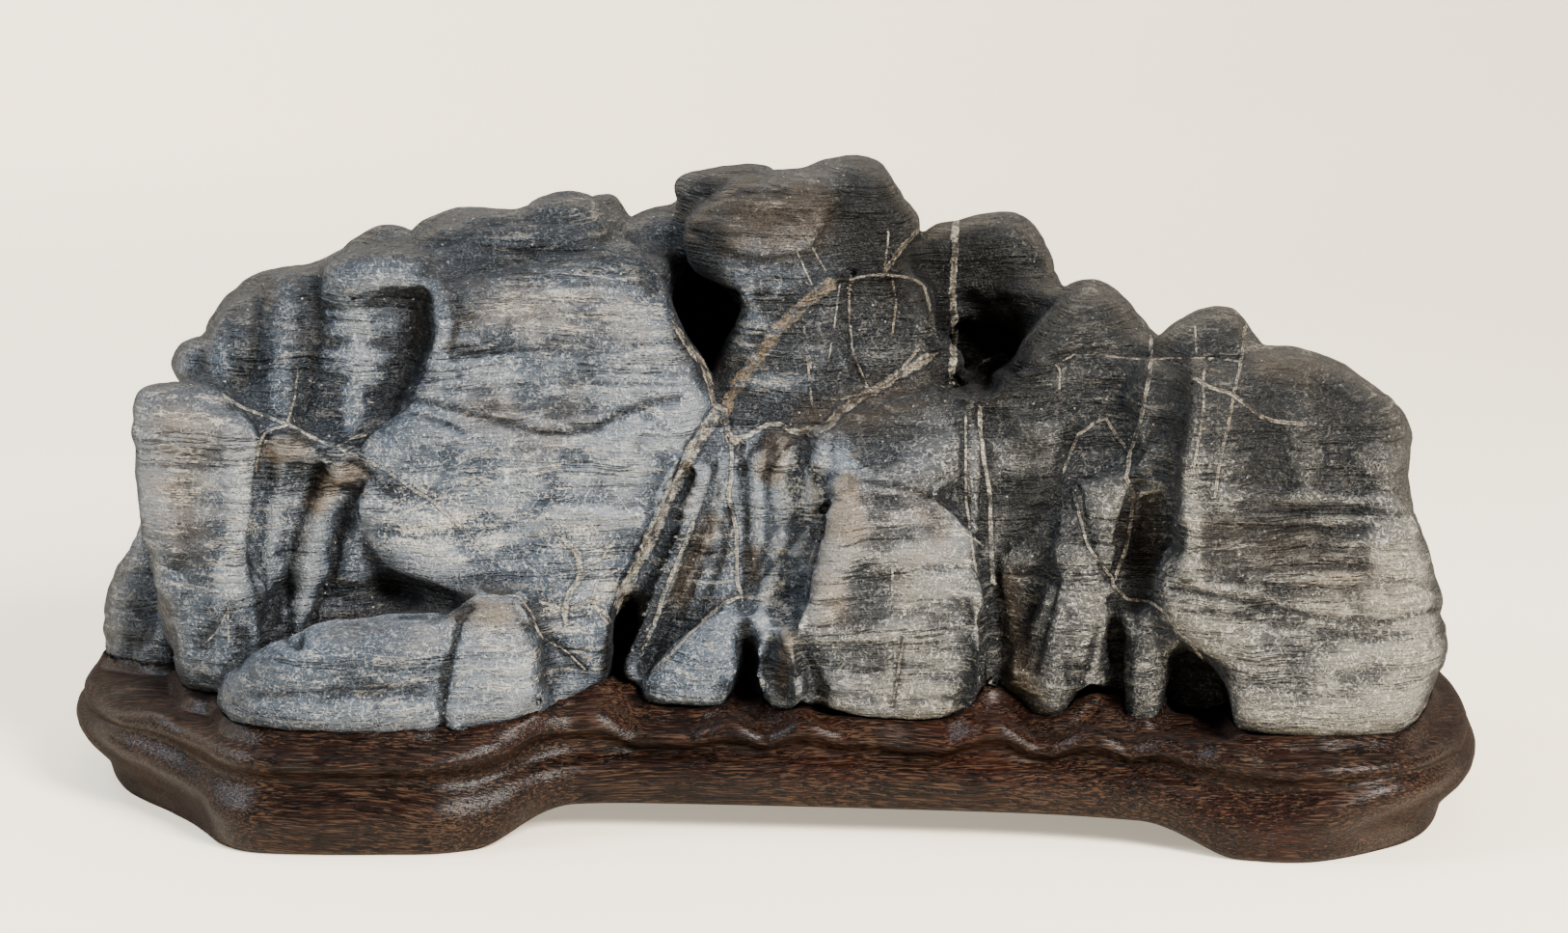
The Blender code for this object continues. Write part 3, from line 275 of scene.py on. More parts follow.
# Sharp creases worn into the front: (width, depth, path)
creases = [
    # the crack at the right of the smooth block
    (0.9, 3.0, [(62.5, 57), (62.8, 40), (63, 20)]),
    # curtains, shield and pillars at the left
    (1.6, 1.6, [(-134, 134.5), (-124, 133), (-112, 135.5), (-102, 137)]),
    (1.2, 1.4, [(-157, 138), (-148, 140), (-138, 142), (-132, 139)]),
    (2.5, 3.5, [(-150, 137), (-149, 128), (-150, 118), (-154, 110)]),
    (2.2, 3.2, [(-132, 141), (-131, 130), (-133, 118), (-134, 108), (-137, 101)]),
    (1.8, 2.5, [(-100, 137), (-99, 126), (-102, 118), (-107, 110), (-113, 104), (-119, 93)]),
    (1.0, 0.8, [(-131, 124.5), (-120, 124), (-112, 123)]),
    (1.0, 0.8, [(-134, 115), (-124, 113), (-113, 109)]),
    (1.2, 1.0, [(-182, 93), (-172, 92.5), (-160, 92)]),
    (1.2, 0.9, [(-182, 88.5), (-172, 88), (-164, 88)]),
    (1.2, 1.0, [(-157, 47), (-162, 41)]),
    (1.2, 1.0, [(-157, 47), (-153, 40)]),
    (1.1, 3.0, [(-147, 97), (-149, 84), (-150, 75), (-151, 66), (-150, 57), (-147, 47),
        (-147, 36)]),
    (1.4, 3.0, [(-131, 88), (-134, 79), (-137, 72), (-139, 64), (-140, 57), (-143, 48),
        (-146, 38)]),
    (1.4, 3.0, [(-140, 54), (-139, 46), (-140, 38)]),
    (1.2, 3.5, [(-119, 84), (-124, 75), (-126, 66), (-127, 58), (-131, 50), (-134, 42),
        (-137, 37)]),
    (1.5, 2.5, [(-133, 82), (-131, 87), (-126, 90), (-120, 89), (-115, 85)]),
    (1.4, 2.5, [(-148, 97), (-144, 98), (-139, 98), (-133, 95), (-128, 91)]),
    # face block and shoulder
    (2.0, 1.5, [(-92, 139), (-92, 128), (-93, 122)]),
    (1.8, 1.5, [(-108, 108), (-97, 106), (-88, 103), (-80, 101), (-72, 99), (-66, 97.5),
        (-60, 97), (-52, 99), (-45, 103), (-38, 106), (-28, 108)]),
    (1.2, 0.8, [(-105, 103), (-96, 101), (-90, 98)]),
    (2.6, 2.4, [(-74, 149), (-66, 150), (-58, 150), (-52, 152), (-46, 155)]),
    (2.0, 1.6, [(-118, 152), (-105, 151), (-92, 152), (-80, 150), (-70, 150)]),
    (1.4, 1.2, [(-95, 141), (-86, 144), (-78, 146), (-70, 148)]),
    (1.0, 0.7, [(-55, 143.5), (-46, 143), (-38, 143)]),
    (1.0, 0.6, [(-80, 139), (-60, 140), (-38, 140)]),
    (1.0, 0.6, [(-90, 121), (-80, 121), (-66, 122)]),
    (1.0, 0.6, [(-42, 122), (-34, 123.5), (-28, 124)]),
    (1.0, 0.6, [(-100, 109.5), (-86, 110), (-60, 112), (-30, 111)]),
    (1.3, 1.2, [(-69, 50), (-68, 42), (-62, 36), (-55, 30)]),
    (1.5, 1.0, [(-82, 158), (-66, 160), (-54, 158)]),
    (1.2, 2.6, [(-91, 45), (-93, 36), (-95, 28), (-96, 20), (-96, 10)]),
    # folds that fan out below the knot
    (1.1, 2.0, [(-20, 98), (-24, 90), (-28, 82), (-31, 74), (-35, 64), (-38, 55), (-42, 46)]),
    (1.3, 2.5, [(-18, 88), (-21, 78), (-24, 68), (-27, 58), (-30, 48), (-34, 38), (-38, 30)]),
    (1.1, 1.9, [(-16, 84), (-18, 74), (-20, 64), (-24, 54), (-28, 46)]),
    (1.1, 1.9, [(-14, 76), (-15, 66), (-17, 58), (-20, 52)]),
    (1.4, 2.2, [(-11, 94), (-9.5, 84), (-9, 74), (-8.5, 64), (-8.5, 54)]),
    (1.0, 1.4, [(-1, 94), (-3, 86), (-2, 76)]),
    (1.0, 1.2, [(-2, 70), (-5, 60), (-8, 54)]),
    (1.0, 1.3, [(8, 97), (7, 88), (8, 82)]),
    (1.0, 1.5, [(-9, 51), (0, 61), (11, 74.5), (21.6, 83)]),
    (1.0, 1.0, [(3, 62), (0, 54)]),
    (1.2, 1.0, [(16, 94), (17, 86), (15, 79)]),
    (1.1, 0.9, [(13, 70), (10, 62), (8, 54), (5, 46)]),
    (1.0, 1.5, [(-3, 97), (-8, 91), (-10, 86)]),
    (1.0, 1.5, [(5, 96), (0, 90), (-4, 84)]),
    (1.2, 1.6, [(-2, 40), (-3, 28), (-3, 20)]),
    # shelf, block and the wall beside it
    (1.5, 1.6, [(8, 90), (14, 86), (22, 84), (30, 83), (40, 81), (46, 78)]),
    (1.0, 0.8, [(36, 40), (35, 32), (34, 24), (33, 18)]),
    (1.6, 2.0, [(58, 103), (59, 90), (59, 76), (58, 62)]),
    (1.0, 1.0, [(54, 100), (53, 88), (54, 76)]),
    (1.6, 3.0, [(85, 99), (82, 92), (80, 84), (76, 77), (71, 70), (66, 66), (62, 60)]),
    (1.6, 3.0, [(80, 57), (79, 50), (77, 44), (74, 38), (72, 30)]),
    (1.4, 1.5, [(70, 58), (75, 57), (80, 55)]),
    (1.2, 2.0, [(85, 84), (87, 74), (90, 65), (93, 60), (96, 56)]),
    (1.4, 2.6, [(103, 84), (101, 74), (99, 64), (97, 57)]),
    (1.4, 4.5, [(97, 50), (97, 38), (97, 26), (96, 14)]),
    (1.5, 1.6, [(92, 42), (90, 33), (86, 27), (84, 20)]),
    (1.5, 1.5, [(108, 98), (104, 94), (100, 90)]),
    # bedding of the great right face
    (1.3, 1.1, [(113, 53), (120, 52), (130, 50), (140, 48), (150, 46), (160, 44.5), (175, 44),
        (188, 47)]),
    (1.1, 0.8, [(116, 47), (130, 46), (145, 42.5), (160, 40), (172, 39)]),
    (1.6, 1.2, [(134, 77), (150, 76), (166, 75.5), (178, 74)]),
    (1.6, 1.2, [(128, 71.5), (142, 70.5), (156, 70.5), (166, 70)]),
    (1.6, 1.0, [(132, 84.5), (146, 82.5), (160, 82.5), (178, 81)]),
    (1.2, 0.8, [(138, 65), (156, 64), (168, 64)]),
    (1.2, 0.8, [(140, 60.5), (156, 58.5), (172, 59)]),
    (1.0, 0.7, [(118, 70), (127, 70), (134, 69)]),
    (2.0, 2.2, [(80, 120), (90, 121.5), (100, 121), (108, 119.5), (120, 119.5), (132, 118.5)]),
    (1.6, 2.2, [(62, 118), (70, 117), (78, 115), (84, 119)]),
    (1.4, 1.2, [(153, 113), (160, 110), (166, 105)]),
    (1.2, 0.8, [(20, 172), (24, 164), (30, 160)]),
    # summits
    (2.5, 2.2, [(-26, 156), (-18, 151), (-8, 147), (4, 147.5), (14, 150)]),
    (1.2, 0.8, [(-22, 160), (-8, 160.5), (6, 159)]),
    (1.2, 1.0, [(-20, 164), (-6, 166.5), (8, 165.5)]),
    (1.8, 1.8, [(13, 151), (17, 158), (20, 166)]),
    (1.4, 1.2, [(8, 160), (12, 156), (14, 150)]),
    (1.4, 2.4, [(20, 141), (19.5, 130), (20, 120), (24, 112)]),
    (1.2, 1.4, [(33, 142), (34, 134), (33, 126)]),
    (1.6, 2.0, [(30, 144), (36, 150), (42, 154)]),
    (1.4, 1.5, [(44, 152), (46, 142), (47, 134)]),
    (1.4, 1.8, [(58, 133), (66, 136), (76, 134)]),
]

# Round swells, or round hollows where the height is negative: (width, height, path)
swells = [
    (5.0, 1.6, [(-130, 140), (-116, 141), (-107, 142)]),
    (4.5, 2.2, [(-141, 141), (-141, 128), (-142, 114), (-140, 102)]),
    (6.0, 3.4, [(-121, 138), (-120, 127), (-119, 116), (-120, 106), (-121, 96)]),
    (4.0, 1.5, [(-159, 132), (-161, 122), (-158, 112)]),
    (4.0, -2.6, [(-104, 134), (-103, 127), (-106, 118), (-111, 106)]),
    (4.0, 2.2, [(-155, 97), (-153, 84), (-153, 70), (-157, 56), (-157, 46), (-159, 30)]),
    (9.0, -1.2, [(-172, 92), (-170, 75), (-168, 55)]),
    (3.0, 2.2, [(-141, 91), (-143, 78), (-145, 66), (-146, 54)]),
    (3.5, 3.2, [(-125, 86), (-130, 77), (-133, 66), (-134, 56), (-138, 44)]),
    (4.0, 2.2, [(-116, 78), (-119, 68), (-121, 58)]),
    (4.0, -3.0, [(-112, 52), (-100, 50), (-90, 48)]),
    (4.0, 2.2, [(-97, 138), (-96, 128), (-98, 118)]),
    (9.0, 1.2, [(-50, 75), (-46, 90), (-44, 110), (-42, 130)]),
    (8.0, -1.0, [(-112, 84), (-100, 92), (-85, 89)]),
    (2.5, 1.2, [(-82, 66), (-70, 70), (-60, 75), (-50, 73), (-40, 73)]),
    (9.0, 1.0, [(-140, 30), (-120, 34), (-104, 36)]),
    (1.8, 2.4, [(-20, 86), (-23, 76), (-26, 66), (-30, 56), (-34, 46), (-38, 36), (-41, 30)]),
    (1.5, 1.8, [(-16, 88), (-17, 78), (-19, 68), (-22, 60)]),
    (2.0, 1.0, [(-5, 90), (-6, 80), (-5, 66)]),
    (3.0, 1.6, [(2, 94), (0, 84), (2, 74), (1, 64), (-3, 50)]),
    (2.2, 1.8, [(14, 92), (10, 84), (10, 74), (5, 64)]),
    (6.0, 3.2, [(15, 88), (14, 74), (10, 60)]),
    (5.0, 3.4, [(21, 84), (20, 70), (17, 56), (13, 46)]),
    (3.0, 1.6, [(20, 82), (28, 82.5), (38, 81), (46, 78), (51, 72), (55, 62), (57, 48)]),
    (8.0, 1.2, [(36, 70), (36, 54), (36, 36)]),
    (2.0, 1.6, [(55, 106), (57, 96), (57, 84), (56, 70)]),
    (3.0, 2.0, [(61, 106), (70, 101), (80, 100)]),
    (2.5, 1.6, [(82, 76), (81, 60), (80, 48), (80, 34), (79, 20)]),
    (2.5, 1.6, [(106, 46), (106, 34), (105, 22)]),
    (5.0, -4.0, [(107, 74), (104, 62), (103, 52)]),
    (4.5, -2.5, [(113, 116), (115, 104), (113, 94), (109, 84)]),
    (3.0, 2.8, [(120, 118), (120, 104), (119, 92), (118, 80), (119, 68), (118, 58)]),
    (7.0, -2.2, [(138, 110), (137, 100), (139, 90), (143, 83)]),
    (4.5, 2.2, [(152, 116), (149, 104), (152, 92), (151, 82)]),
    (4.0, -1.6, [(160, 112), (161, 100), (161, 90)]),
    (5.0, 1.8, [(172, 104), (173, 90), (174, 76), (173, 60)]),
    (1.6, 1.0, [(118, 55), (130, 52.5), (142, 50), (152, 48), (162, 46.5)]),
    (1.6, 1.0, [(128, 74.5), (140, 73.2), (156, 73), (168, 73)]),
    (2.0, 1.0, [(126, 80), (140, 79), (156, 79), (170, 78)]),
    (2.0, 1.0, [(136, 56), (150, 56), (165, 56.5)]),
    (5.0, -5.0, [(54, 134), (60, 126), (64, 120)]),
    (3.5, -4.0, [(47, 126), (49, 118), (50, 112)]),
    (6.0, 1.5, [(-20, 158), (-4, 160), (8, 158)]),
]

# Calcite veins: (group, half width, height, brownness from 0 up, path)
veins = [
    (0, 2.0, 2.6, 1.15, [(-15, 104), (-13, 110), (-9, 115), (-3, 122), (0, 127), (5, 132),
        (10, 137), (15, 140)]),
    (1, 0.9, 1.2, 0.45, [(-29, 128), (-25, 122), (-21, 117), (-19, 111), (-18, 106), (-15, 104),
        (-14, 98), (-12, 95)]),
    (0, 1.7, 0.9, 0.1, [(-17, 104), (-20, 99), (-24, 93), (-27, 86), (-30, 81), (-34, 72),
        (-38, 64), (-42, 56), (-45, 48)]),
    (0, 0.6, 0.7, 0.25, [(-13, 97), (-13, 85), (-14, 80), (-12, 72), (-11.5, 62), (-11.5, 55),
        (-10, 51)]),
    (1, 0.75, 0.6, 0.2, [(-12, 96), (-8, 97), (-3, 100), (1, 100), (4, 98), (7, 98)]),
    (1, 1.4, 1.8, 0.7, [(7, 98), (10, 98), (15, 100), (18, 104), (24, 108), (30, 111),
        (36, 115), (43, 119)]),
    (2, 0.45, 0.5, 0.6, [(16, 107), (26, 109), (34, 114), (40, 121)]),
    (2, 0.52, 0.4, 0.2, [(-4, 50), (-10, 51), (-15, 49), (-20, 45), (-25, 40), (-30, 35),
        (-35, 30)]),
    (1, 0.68, 0.2, 0.2, [(-24, 72), (-27, 64), (-31, 55), (-35, 43), (-38, 37)]),
    (1, 0.34, 0.1, 0.3, [(7.5, 130), (8.5, 120), (10, 106)]),
    (2, 0.3, 0.1, 0.4, [(21, 142), (20.5, 132), (21.5, 122), (26, 110)]),
    (1, 0.34, 0.1, 0.6, [(33, 142), (34, 135), (33, 126)]),
    (1, 0.26, 0.1, 0.3, [(18, 140), (16, 125), (14, 115)]),
    (1, 0.26, 0.1, 0.3, [(5.5, 150), (10, 140)]),
    (1, 0.26, 0.1, 0.3, [(8, 154), (14, 144)]),
    (1, 0.83, 0.9, 0.75, [(31, 144), (36, 151), (40, 155)]),
    (2, 0.3, 0.1, 0.4, [(32, 155), (31, 146)]),
    (2, 0.38, 0.3, 0.6, [(20.5, 138), (22, 142), (30, 143), (38, 142), (42, 140), (44, 133)]),
    (0, 1.1, 0.6, 0.45, [(51, 158), (50.5, 145), (50, 135), (51, 127), (50, 114)]),
    (0, 0.68, 0.2, 0.15, [(58, 104), (58, 99), (59, 92), (60, 85), (61, 80), (61, 70),
        (61.5, 62), (62, 55)]),
    (1, 0.38, 0.1, 0.2, [(54, 102), (54, 90), (54, 80), (55, 72), (56, 64), (57, 58)]),
    (2, 0.3, 0.1, 0.2, [(52, 70), (57, 67), (60, 64.5)]),
    (1, 0.6, 0.3, 0.5, [(107, 124), (107, 118), (105.5, 108), (103, 98), (101, 92), (100, 85),
        (102, 80), (101, 70), (99, 62), (97, 57)]),
    (1, 0.3, 0.1, 0.3, [(119.5, 128), (120, 120)]),
    (0, 0.5, 0.2, 0.7, [(134, 128), (133, 120), (131.5, 112), (129, 100), (126.5, 88),
        (125.5, 80)]),
    (1, 0.4, 0.2, 0.6, [(122, 115), (122, 105), (121, 97), (119, 87)]),
    (2, 0.6, 0.2, 0.6, [(120, 113), (124, 110.5), (130, 109), (135, 105), (139, 102),
        (143, 101), (150, 100)]),
    (0, 0.45, 0.3, 0.5, [(82, 87), (86, 97), (90, 100), (94, 102), (97, 97), (100, 93)]),
    (2, 0.3, 0.1, 0.4, [(81, 116), (80.5, 107)]),
    (2, 0.28, 0.2, 0.7, [(80, 117), (85, 120), (92, 120), (100, 119), (107, 118.5), (112, 119),
        (125, 119), (133, 118)]),
    (2, 0.45, 0.4, 0.5, [(85, 80), (87, 72), (89, 65), (92, 61), (96, 56), (96, 54), (99, 51.5),
        (100, 50), (106, 49.5), (109, 48), (112, 45), (114, 41), (118, 38), (121, 34),
        (122, 32.5)]),
    (2, 0.38, 0.2, 0.3, [(33, 60), (33, 50)]),
    (1, 0.38, 0.2, 0.4, [(36, 38), (34.5, 28), (33, 20)]),
    (0, 0.52, 0.3, 0.1, [(-158, 108), (-152, 104.5), (-145, 102), (-140, 100), (-132, 96),
        (-125, 93), (-118, 90), (-112, 87), (-105, 82), (-100, 79), (-95, 75), (-89, 69)]),
    (1, 0.45, 0.2, 0.1, [(-140, 100), (-146, 98), (-148, 95), (-149, 87)]),
    (1, 0.38, 0.1, 0.1, [(-127, 93), (-122, 96), (-118, 97)]),
    (1, 0.38, 0.1, 0.1, [(-137, 115), (-138, 107), (-140, 101)]),
    (2, 0.22, 0.0, 0.1, [(-135, 113), (-127, 110), (-120, 107), (-113, 106)]),
    (1, 0.26, 0.0, 0.1, [(-66, 70), (-56, 75), (-50, 73), (-40, 73)]),
    (1, 0.26, 0.0, 0.4, [(-67, 39), (-60, 35), (-55, 30)]),
    (2, 0.9, 0.1, 0.0, [(-61, 67), (-57, 63), (-56, 57), (-60, 51), (-61, 44)]),
    (0, 0.5, 0.1, 0.0, [(-57, 59), (-51, 61), (-47, 66)]),
    (0, 0.55, 0.1, 0.0, [(-67, 49), (-60, 47), (-53, 50), (-49, 44)]),
    (1, 0.4, 0.1, 0.0, [(-53, 50), (-51, 56), (-46, 58)]),
    (1, 0.34, 0.1, 0.3, [(-85, 51), (-74, 51), (-70, 46), (-68, 40)]),
    (1, 0.26, 0.0, 0.1, [(-157, 47), (-160, 41), (-164, 37)]),
    (2, 0.26, 0.0, 0.1, [(-157, 48), (-157, 40), (-156, 33)]),
]

# Tones brushed on the front: (strength, radius, path). Chalk is white crust and tan brown
# stain; the black strokes are painted shade in clefts, gaps and hollows and darker stone on
# some summits; shade paints light and shade, lightening or, below 0, darkening, and partly
# sets the stone's own tone.
tones = {
    "chalk": [
        (1.1, 2.5, [(3, 91), (5, 85), (3, 80)]),
        (1.2, 1.6, [(13, 90), (11.5, 84), (12, 79)]),
        (1.1, 2.0, [(1, 63), (0.5, 54)]),
        (1.0, 3.5, [(-3, 51), (1, 47), (6, 43)]),
        (0.8, 5.0, [(9, 86), (9, 70)]),
        (0.9, 6.0, [(-56, 66), (-50, 60), (-46, 54)]),
        (0.9, 5.0, [(-64, 47), (-57, 43), (-52, 47)]),
        (0.7, 7.0, [(-110, 66), (-96, 64), (-84, 66)]),
        (0.6, 7.0, [(-108, 77), (-98, 73), (-88, 68)]),
        (0.9, 4.0, [(-152, 89), (-153, 80), (-154, 70), (-157, 60), (-158, 50)]),
        (0.8, 4.0, [(-142, 74), (-141, 68)]),
        (0.6, 4.5, [(-136, 88), (-138, 80), (-133, 91)]),
        (0.6, 3.5, [(-133, 60), (-132, 55)]),
        (0.6, 6.0, [(24, 76), (34, 74), (46, 74)]),
        (0.5, 8.0, [(30, 62), (44, 60)]),
        (0.5, 9.0, [(-74, 36), (-73, 26)]),
        (0.4, 6.0, [(-104, 34), (-98, 31)]),
        (0.5, 18.0, [(-100, 78), (-70, 78), (-46, 80)]),
        (0.6, 3.0, [(-24, 72), (-27, 64), (-31, 54)]),
        (0.4, 4.0, [(85, 58), (86, 46), (84, 36)]),
        (0.5, 4.0, [(119, 76), (119, 68)]),
        (0.5, 4.0, [(56, 100), (57, 90), (56, 82)]),
        (0.5, 4.0, [(4, 88), (2, 76), (0, 60), (-2, 48)])],
    "tan": [
        (1.0, 3.5, [(0, 94), (-1, 86)]),
        (1.0, 4.0, [(20, 83), (20, 71)]),
        (0.8, 3.0, [(-7, 63), (-6.5, 56)]),
        (0.8, 3.0, [(3, 40), (2, 28)]),
        (0.8, 4.0, [(-19, 72), (-28, 52)]),
        (0.9, 5.0, [(-144, 93), (-137, 94)]),
        (1.0, 4.0, [(-132, 78), (-128, 85), (-121, 87)]),
        (0.55, 12.0, [(-172, 104), (-164, 98), (-172, 84), (-168, 70)]),
        (0.45, 12.0, [(-84, 134), (-60, 134), (-44, 128)]),
        (0.45, 9.0, [(-128, 42), (-106, 44), (-86, 50), (-76, 46)]),
        (0.45, 12.0, [(-70, 94), (-60, 102)]),
        (0.4, 10.0, [(30, 74), (46, 70), (36, 58)]),
        (0.9, 12.0, [(-18, 158), (0, 158), (8, 160)]),
        (0.6, 7.0, [(140, 117), (150, 115)]),
        (0.8, 8.0, [(62, 128), (68, 124), (60, 116)]),
        (0.5, 6.0, [(102, 70), (104, 58)]),
        (0.6, 8.0, [(10, 100), (24, 104), (42, 112)]),
        (0.5, 9.0, [(14, 60), (16, 48), (12, 66)]),
        (0.5, 6.0, [(74, 30), (74, 22)]),
        (0.4, 5.0, [(-6, 88), (-2, 92)]),
        (0.5, 5.0, [(-88, 48), (-80, 47)]),
        (0.4, 6.0, [(-88, 104), (-80, 104)]),
        (0.4, 14.0, [(128, 66), (150, 62), (172, 58)]),
        (0.6, 4.0, [(67, 56), (68, 40), (68, 24)])],
    # painted shade in clefts, gaps, hollows and shaded walls, and darker stone on some summits
    "blackAndShade": [
        (1.0, 9.0, [(-22, 150), (-21, 138), (-22, 126), (-17, 118)]),
        (1.0, 3.0, [(-44, 48), (-46, 40), (-48, 30)]),
        (1.0, 1.8, [(-9, 44), (-9, 32), (-9, 24)]),
        (1.0, 1.1, [(62.5, 56), (62.8, 40), (63, 20)]),
        (0.9, 2.4, [(97, 40), (97, 28), (96, 16)]),
        (0.5, 6.0, [(118, 28), (120, 18)]),
        (0.9, 5.0, [(-112, 54), (-102, 51), (-90, 49)]),
        (0.3, 4.0, [(-104, 134), (-102, 124), (-106, 114)]),
        (0.8, 8.0, [(46, 134), (56, 126), (66, 118), (50, 114)]),
        (0.55, 13.0, [(28, 170), (34, 160), (30, 150)]),
        (0.45, 14.0, [(70, 118), (84, 130), (96, 130)]),
        (0.35, 12.0, [(112, 122), (128, 126)]),
        (0.2, 18.0, [(118, 104), (140, 102), (166, 98)]),
        (0.5, 12.0, [(60, 150), (72, 140)]),
        (0.25, 7.0, [(74, 78), (75, 60), (74, 42), (72, 24)]),
        (0.45, 9.0, [(-185, 52), (-184, 36)]),
        (0.5, 9.0, [(26, 160), (27, 146), (42, 146), (56, 148)]),
        (0.4, 7.0, [(-152, 22), (-148, 32)]),
        (0.6, 10.0, [(-20, 168), (-10, 172)]),
        (0.35, 7.0, [(113, 108), (114, 98), (113, 88)]),
        (0.35, 9.0, [(138, 108), (138, 98), (139, 90)]),
        (0.7, 5.0, [(101, 66), (103, 56), (104, 48)]),
        (0.5, 6.0, [(70, 96), (74, 84), (66, 72)]),
        (0.4, 9.0, [(160, 108), (168, 104)]),
        (0.4, 6.0, [(138, 72), (152, 71), (162, 66)])],
    # painted light and shade, which also sets some of the stone's own tone
    "shade": [
        (-1.0, 16.0, [(112, 108), (125, 106), (140, 104), (172, 96)]),
        (-0.45, 10.0, [(116, 92), (140, 90), (176, 88)]),
        (-1.0, 16.0, [(66, 116), (84, 128), (94, 134), (104, 122)]),
        (-0.9, 12.0, [(110, 124), (124, 128), (134, 122)]),
        (-1.0, 18.0, [(46, 148), (62, 150), (74, 144)]),
        (-0.9, 14.0, [(22, 170), (32, 162), (36, 152)]),
        (-0.5, 10.0, [(-24, 166), (-12, 171)]),
        (-0.9, 8.0, [(-24, 148), (-14, 144), (-4, 146)]),
        (-0.3, 12.0, [(-100, 158), (-76, 160), (-50, 160)]),
        (-0.5, 12.0, [(-158, 122), (-146, 132), (-130, 138)]),
        (-0.7, 10.0, [(-186, 54), (-184, 38)]),
        (-0.35, 9.0, [(-150, 108), (-140, 108), (-128, 104)]),
        (-0.35, 14.0, [(-4, 124), (4, 116), (14, 112)]),
        (-0.4, 14.0, [(30, 130), (36, 122), (44, 132)]),
        (-0.3, 10.0, [(30, 96), (44, 98), (50, 90)]),
        (-0.2, 14.0, [(66, 100), (78, 94), (96, 98), (104, 90)]),
        (-0.45, 10.0, [(70, 76), (88, 72), (100, 66)]),
        (-0.7, 9.0, [(78, 56), (84, 36), (80, 20)]),
        (-0.6, 9.0, [(108, 44), (106, 30), (105, 18)]),
        (-0.3, 9.0, [(-36, 44), (-28, 58), (-22, 74)]),
        (-0.5, 10.0, [(-122, 58), (-112, 52), (-92, 46)]),
        (-0.7, 7.0, [(66, 50), (67, 36), (67, 22)]),
        (-0.1, 16.0, [(-130, 28), (-104, 32), (-78, 34)]),
        (0.65, 15.0, [(26, 68), (44, 62)]),
        (0.25, 12.0, [(24, 36), (44, 32)]),
        (0.6, 22.0, [(136, 46), (168, 44), (170, 24)]),
        (0.25, 14.0, [(-92, 74), (-66, 76), (-46, 70)]),
        (0.5, 22.0, [(-82, 122), (-60, 126), (-42, 112)]),
        (0.5, 9.0, [(-86, 136), (-66, 136), (-50, 132)]),
        (0.9, 20.0, [(-84, 98), (-60, 108), (-46, 120)]),
        (1.0, 12.0, [(-90, 66), (-70, 62), (-52, 60)]),
        (-0.7, 12.0, [(-152, 128), (-140, 126), (-136, 112)]),
        (0.5, 10.0, [(-126, 34), (-104, 38), (-84, 40)]),
        (-0.5, 10.0, [(-184, 30), (-182, 50)]),
        (-0.6, 7.0, [(-90, 138), (-86, 132)]),
        (-1.0, 7.0, [(-38, 162), (-36, 150)]),
        (1.2, 5.0, [(-142, 86), (-130, 86)]),
        (0.6, 10.0, [(-58, 62), (-42, 66), (-40, 76)]),
        (1.0, 7.0, [(-24, 92), (-24, 78)]),
        (0.8, 6.0, [(-150, 88), (-134, 84), (-134, 62), (-134, 50)]),
        (0.6, 7.0, [(-104, 56), (-100, 50)]),
        (0.4, 10.0, [(20, 98), (40, 98), (58, 96)]),
        (0.4, 9.0, [(-10, 146), (6, 150)]),
        (0.5, 9.0, [(-54, 64), (-46, 60)]),
        (0.6, 8.0, [(-20, 88), (-20, 74)]),
        (-0.6, 8.0, [(-38, 160), (-34, 152)]),
        (0.4, 12.0, [(100, 106), (112, 96), (118, 84)]),
        (-0.4, 12.0, [(-130, 38), (-112, 36)]),
        (-0.4, 10.0, [(-166, 54), (-166, 40)]),
        (0.5, 8.0, [(-8, 98), (-2, 102)]),
        (0.6, 9.0, [(-74, 26), (-66, 20)]),
        (-0.5, 3.5, [(0, 95), (-1, 86)]),
        (-0.6, 4.0, [(21, 82), (20, 72)]),
        (0.8, 6.0, [(14, 64), (12, 52)]),
        (1.0, 9.0, [(6, 90), (9, 72)]),
        (0.9, 7.0, [(16, 90), (17, 74)]),
        (0.6, 9.0, [(-2, 84), (0, 66)]),
        (0.6, 6.0, [(-4, 54), (-5, 40)]),
        (-0.9, 13.0, [(28, 166), (28, 146)]),
        (-0.7, 11.0, [(26, 112), (34, 120), (46, 126)]),
        (0.6, 8.0, [(56, 98), (60, 90)]),
        (0.7, 7.0, [(104, 78), (108, 70)]),
        (0.4, 12.0, [(120, 94), (124, 84)]),
        (-0.6, 9.0, [(136, 62), (142, 60)]),
        (-0.4, 9.0, [(152, 28), (158, 22)]),
        (0.5, 12.0, [(-80, 80), (-56, 84), (-38, 84)]),
        (0.7, 6.0, [(-151, 92), (-150, 74)]),
        (0.5, 10.0, [(-124, 84), (-118, 74)]),
        (0.6, 14.0, [(-150, 102), (-166, 98), (-172, 76)]),
        (-0.4, 12.0, [(-126, 36), (-104, 40)]),
        (-0.5, 14.0, [(-14, 164), (6, 166), (24, 160)]),
        (0.7, 11.0, [(-58, 78), (-44, 82), (-52, 60)]),
        (0.35, 12.0, [(-168, 96), (-168, 70), (-164, 46)]),
        (-0.6, 12.0, [(-184, 62), (-180, 40), (-176, 24)]),
        (-0.8, 9.0, [(-150, 44), (-150, 30), (-148, 16)]),
        (-0.8, 6.0, [(-150, 134), (-150, 120), (-152, 110)]),
        (-0.8, 3.0, [(-134, 134), (-133, 124), (-136, 110)]),
        (-0.4, 12.0, [(-128, 148), (-100, 152), (-70, 152), (-48, 156)]),
        (-0.9, 4.5, [(-104, 134), (-103, 124), (-106, 112), (-112, 102)]),
        (-0.6, 6.0, [(-90, 140), (-90, 130)]),
        (-0.6, 8.0, [(-38, 162), (-36, 152)]),
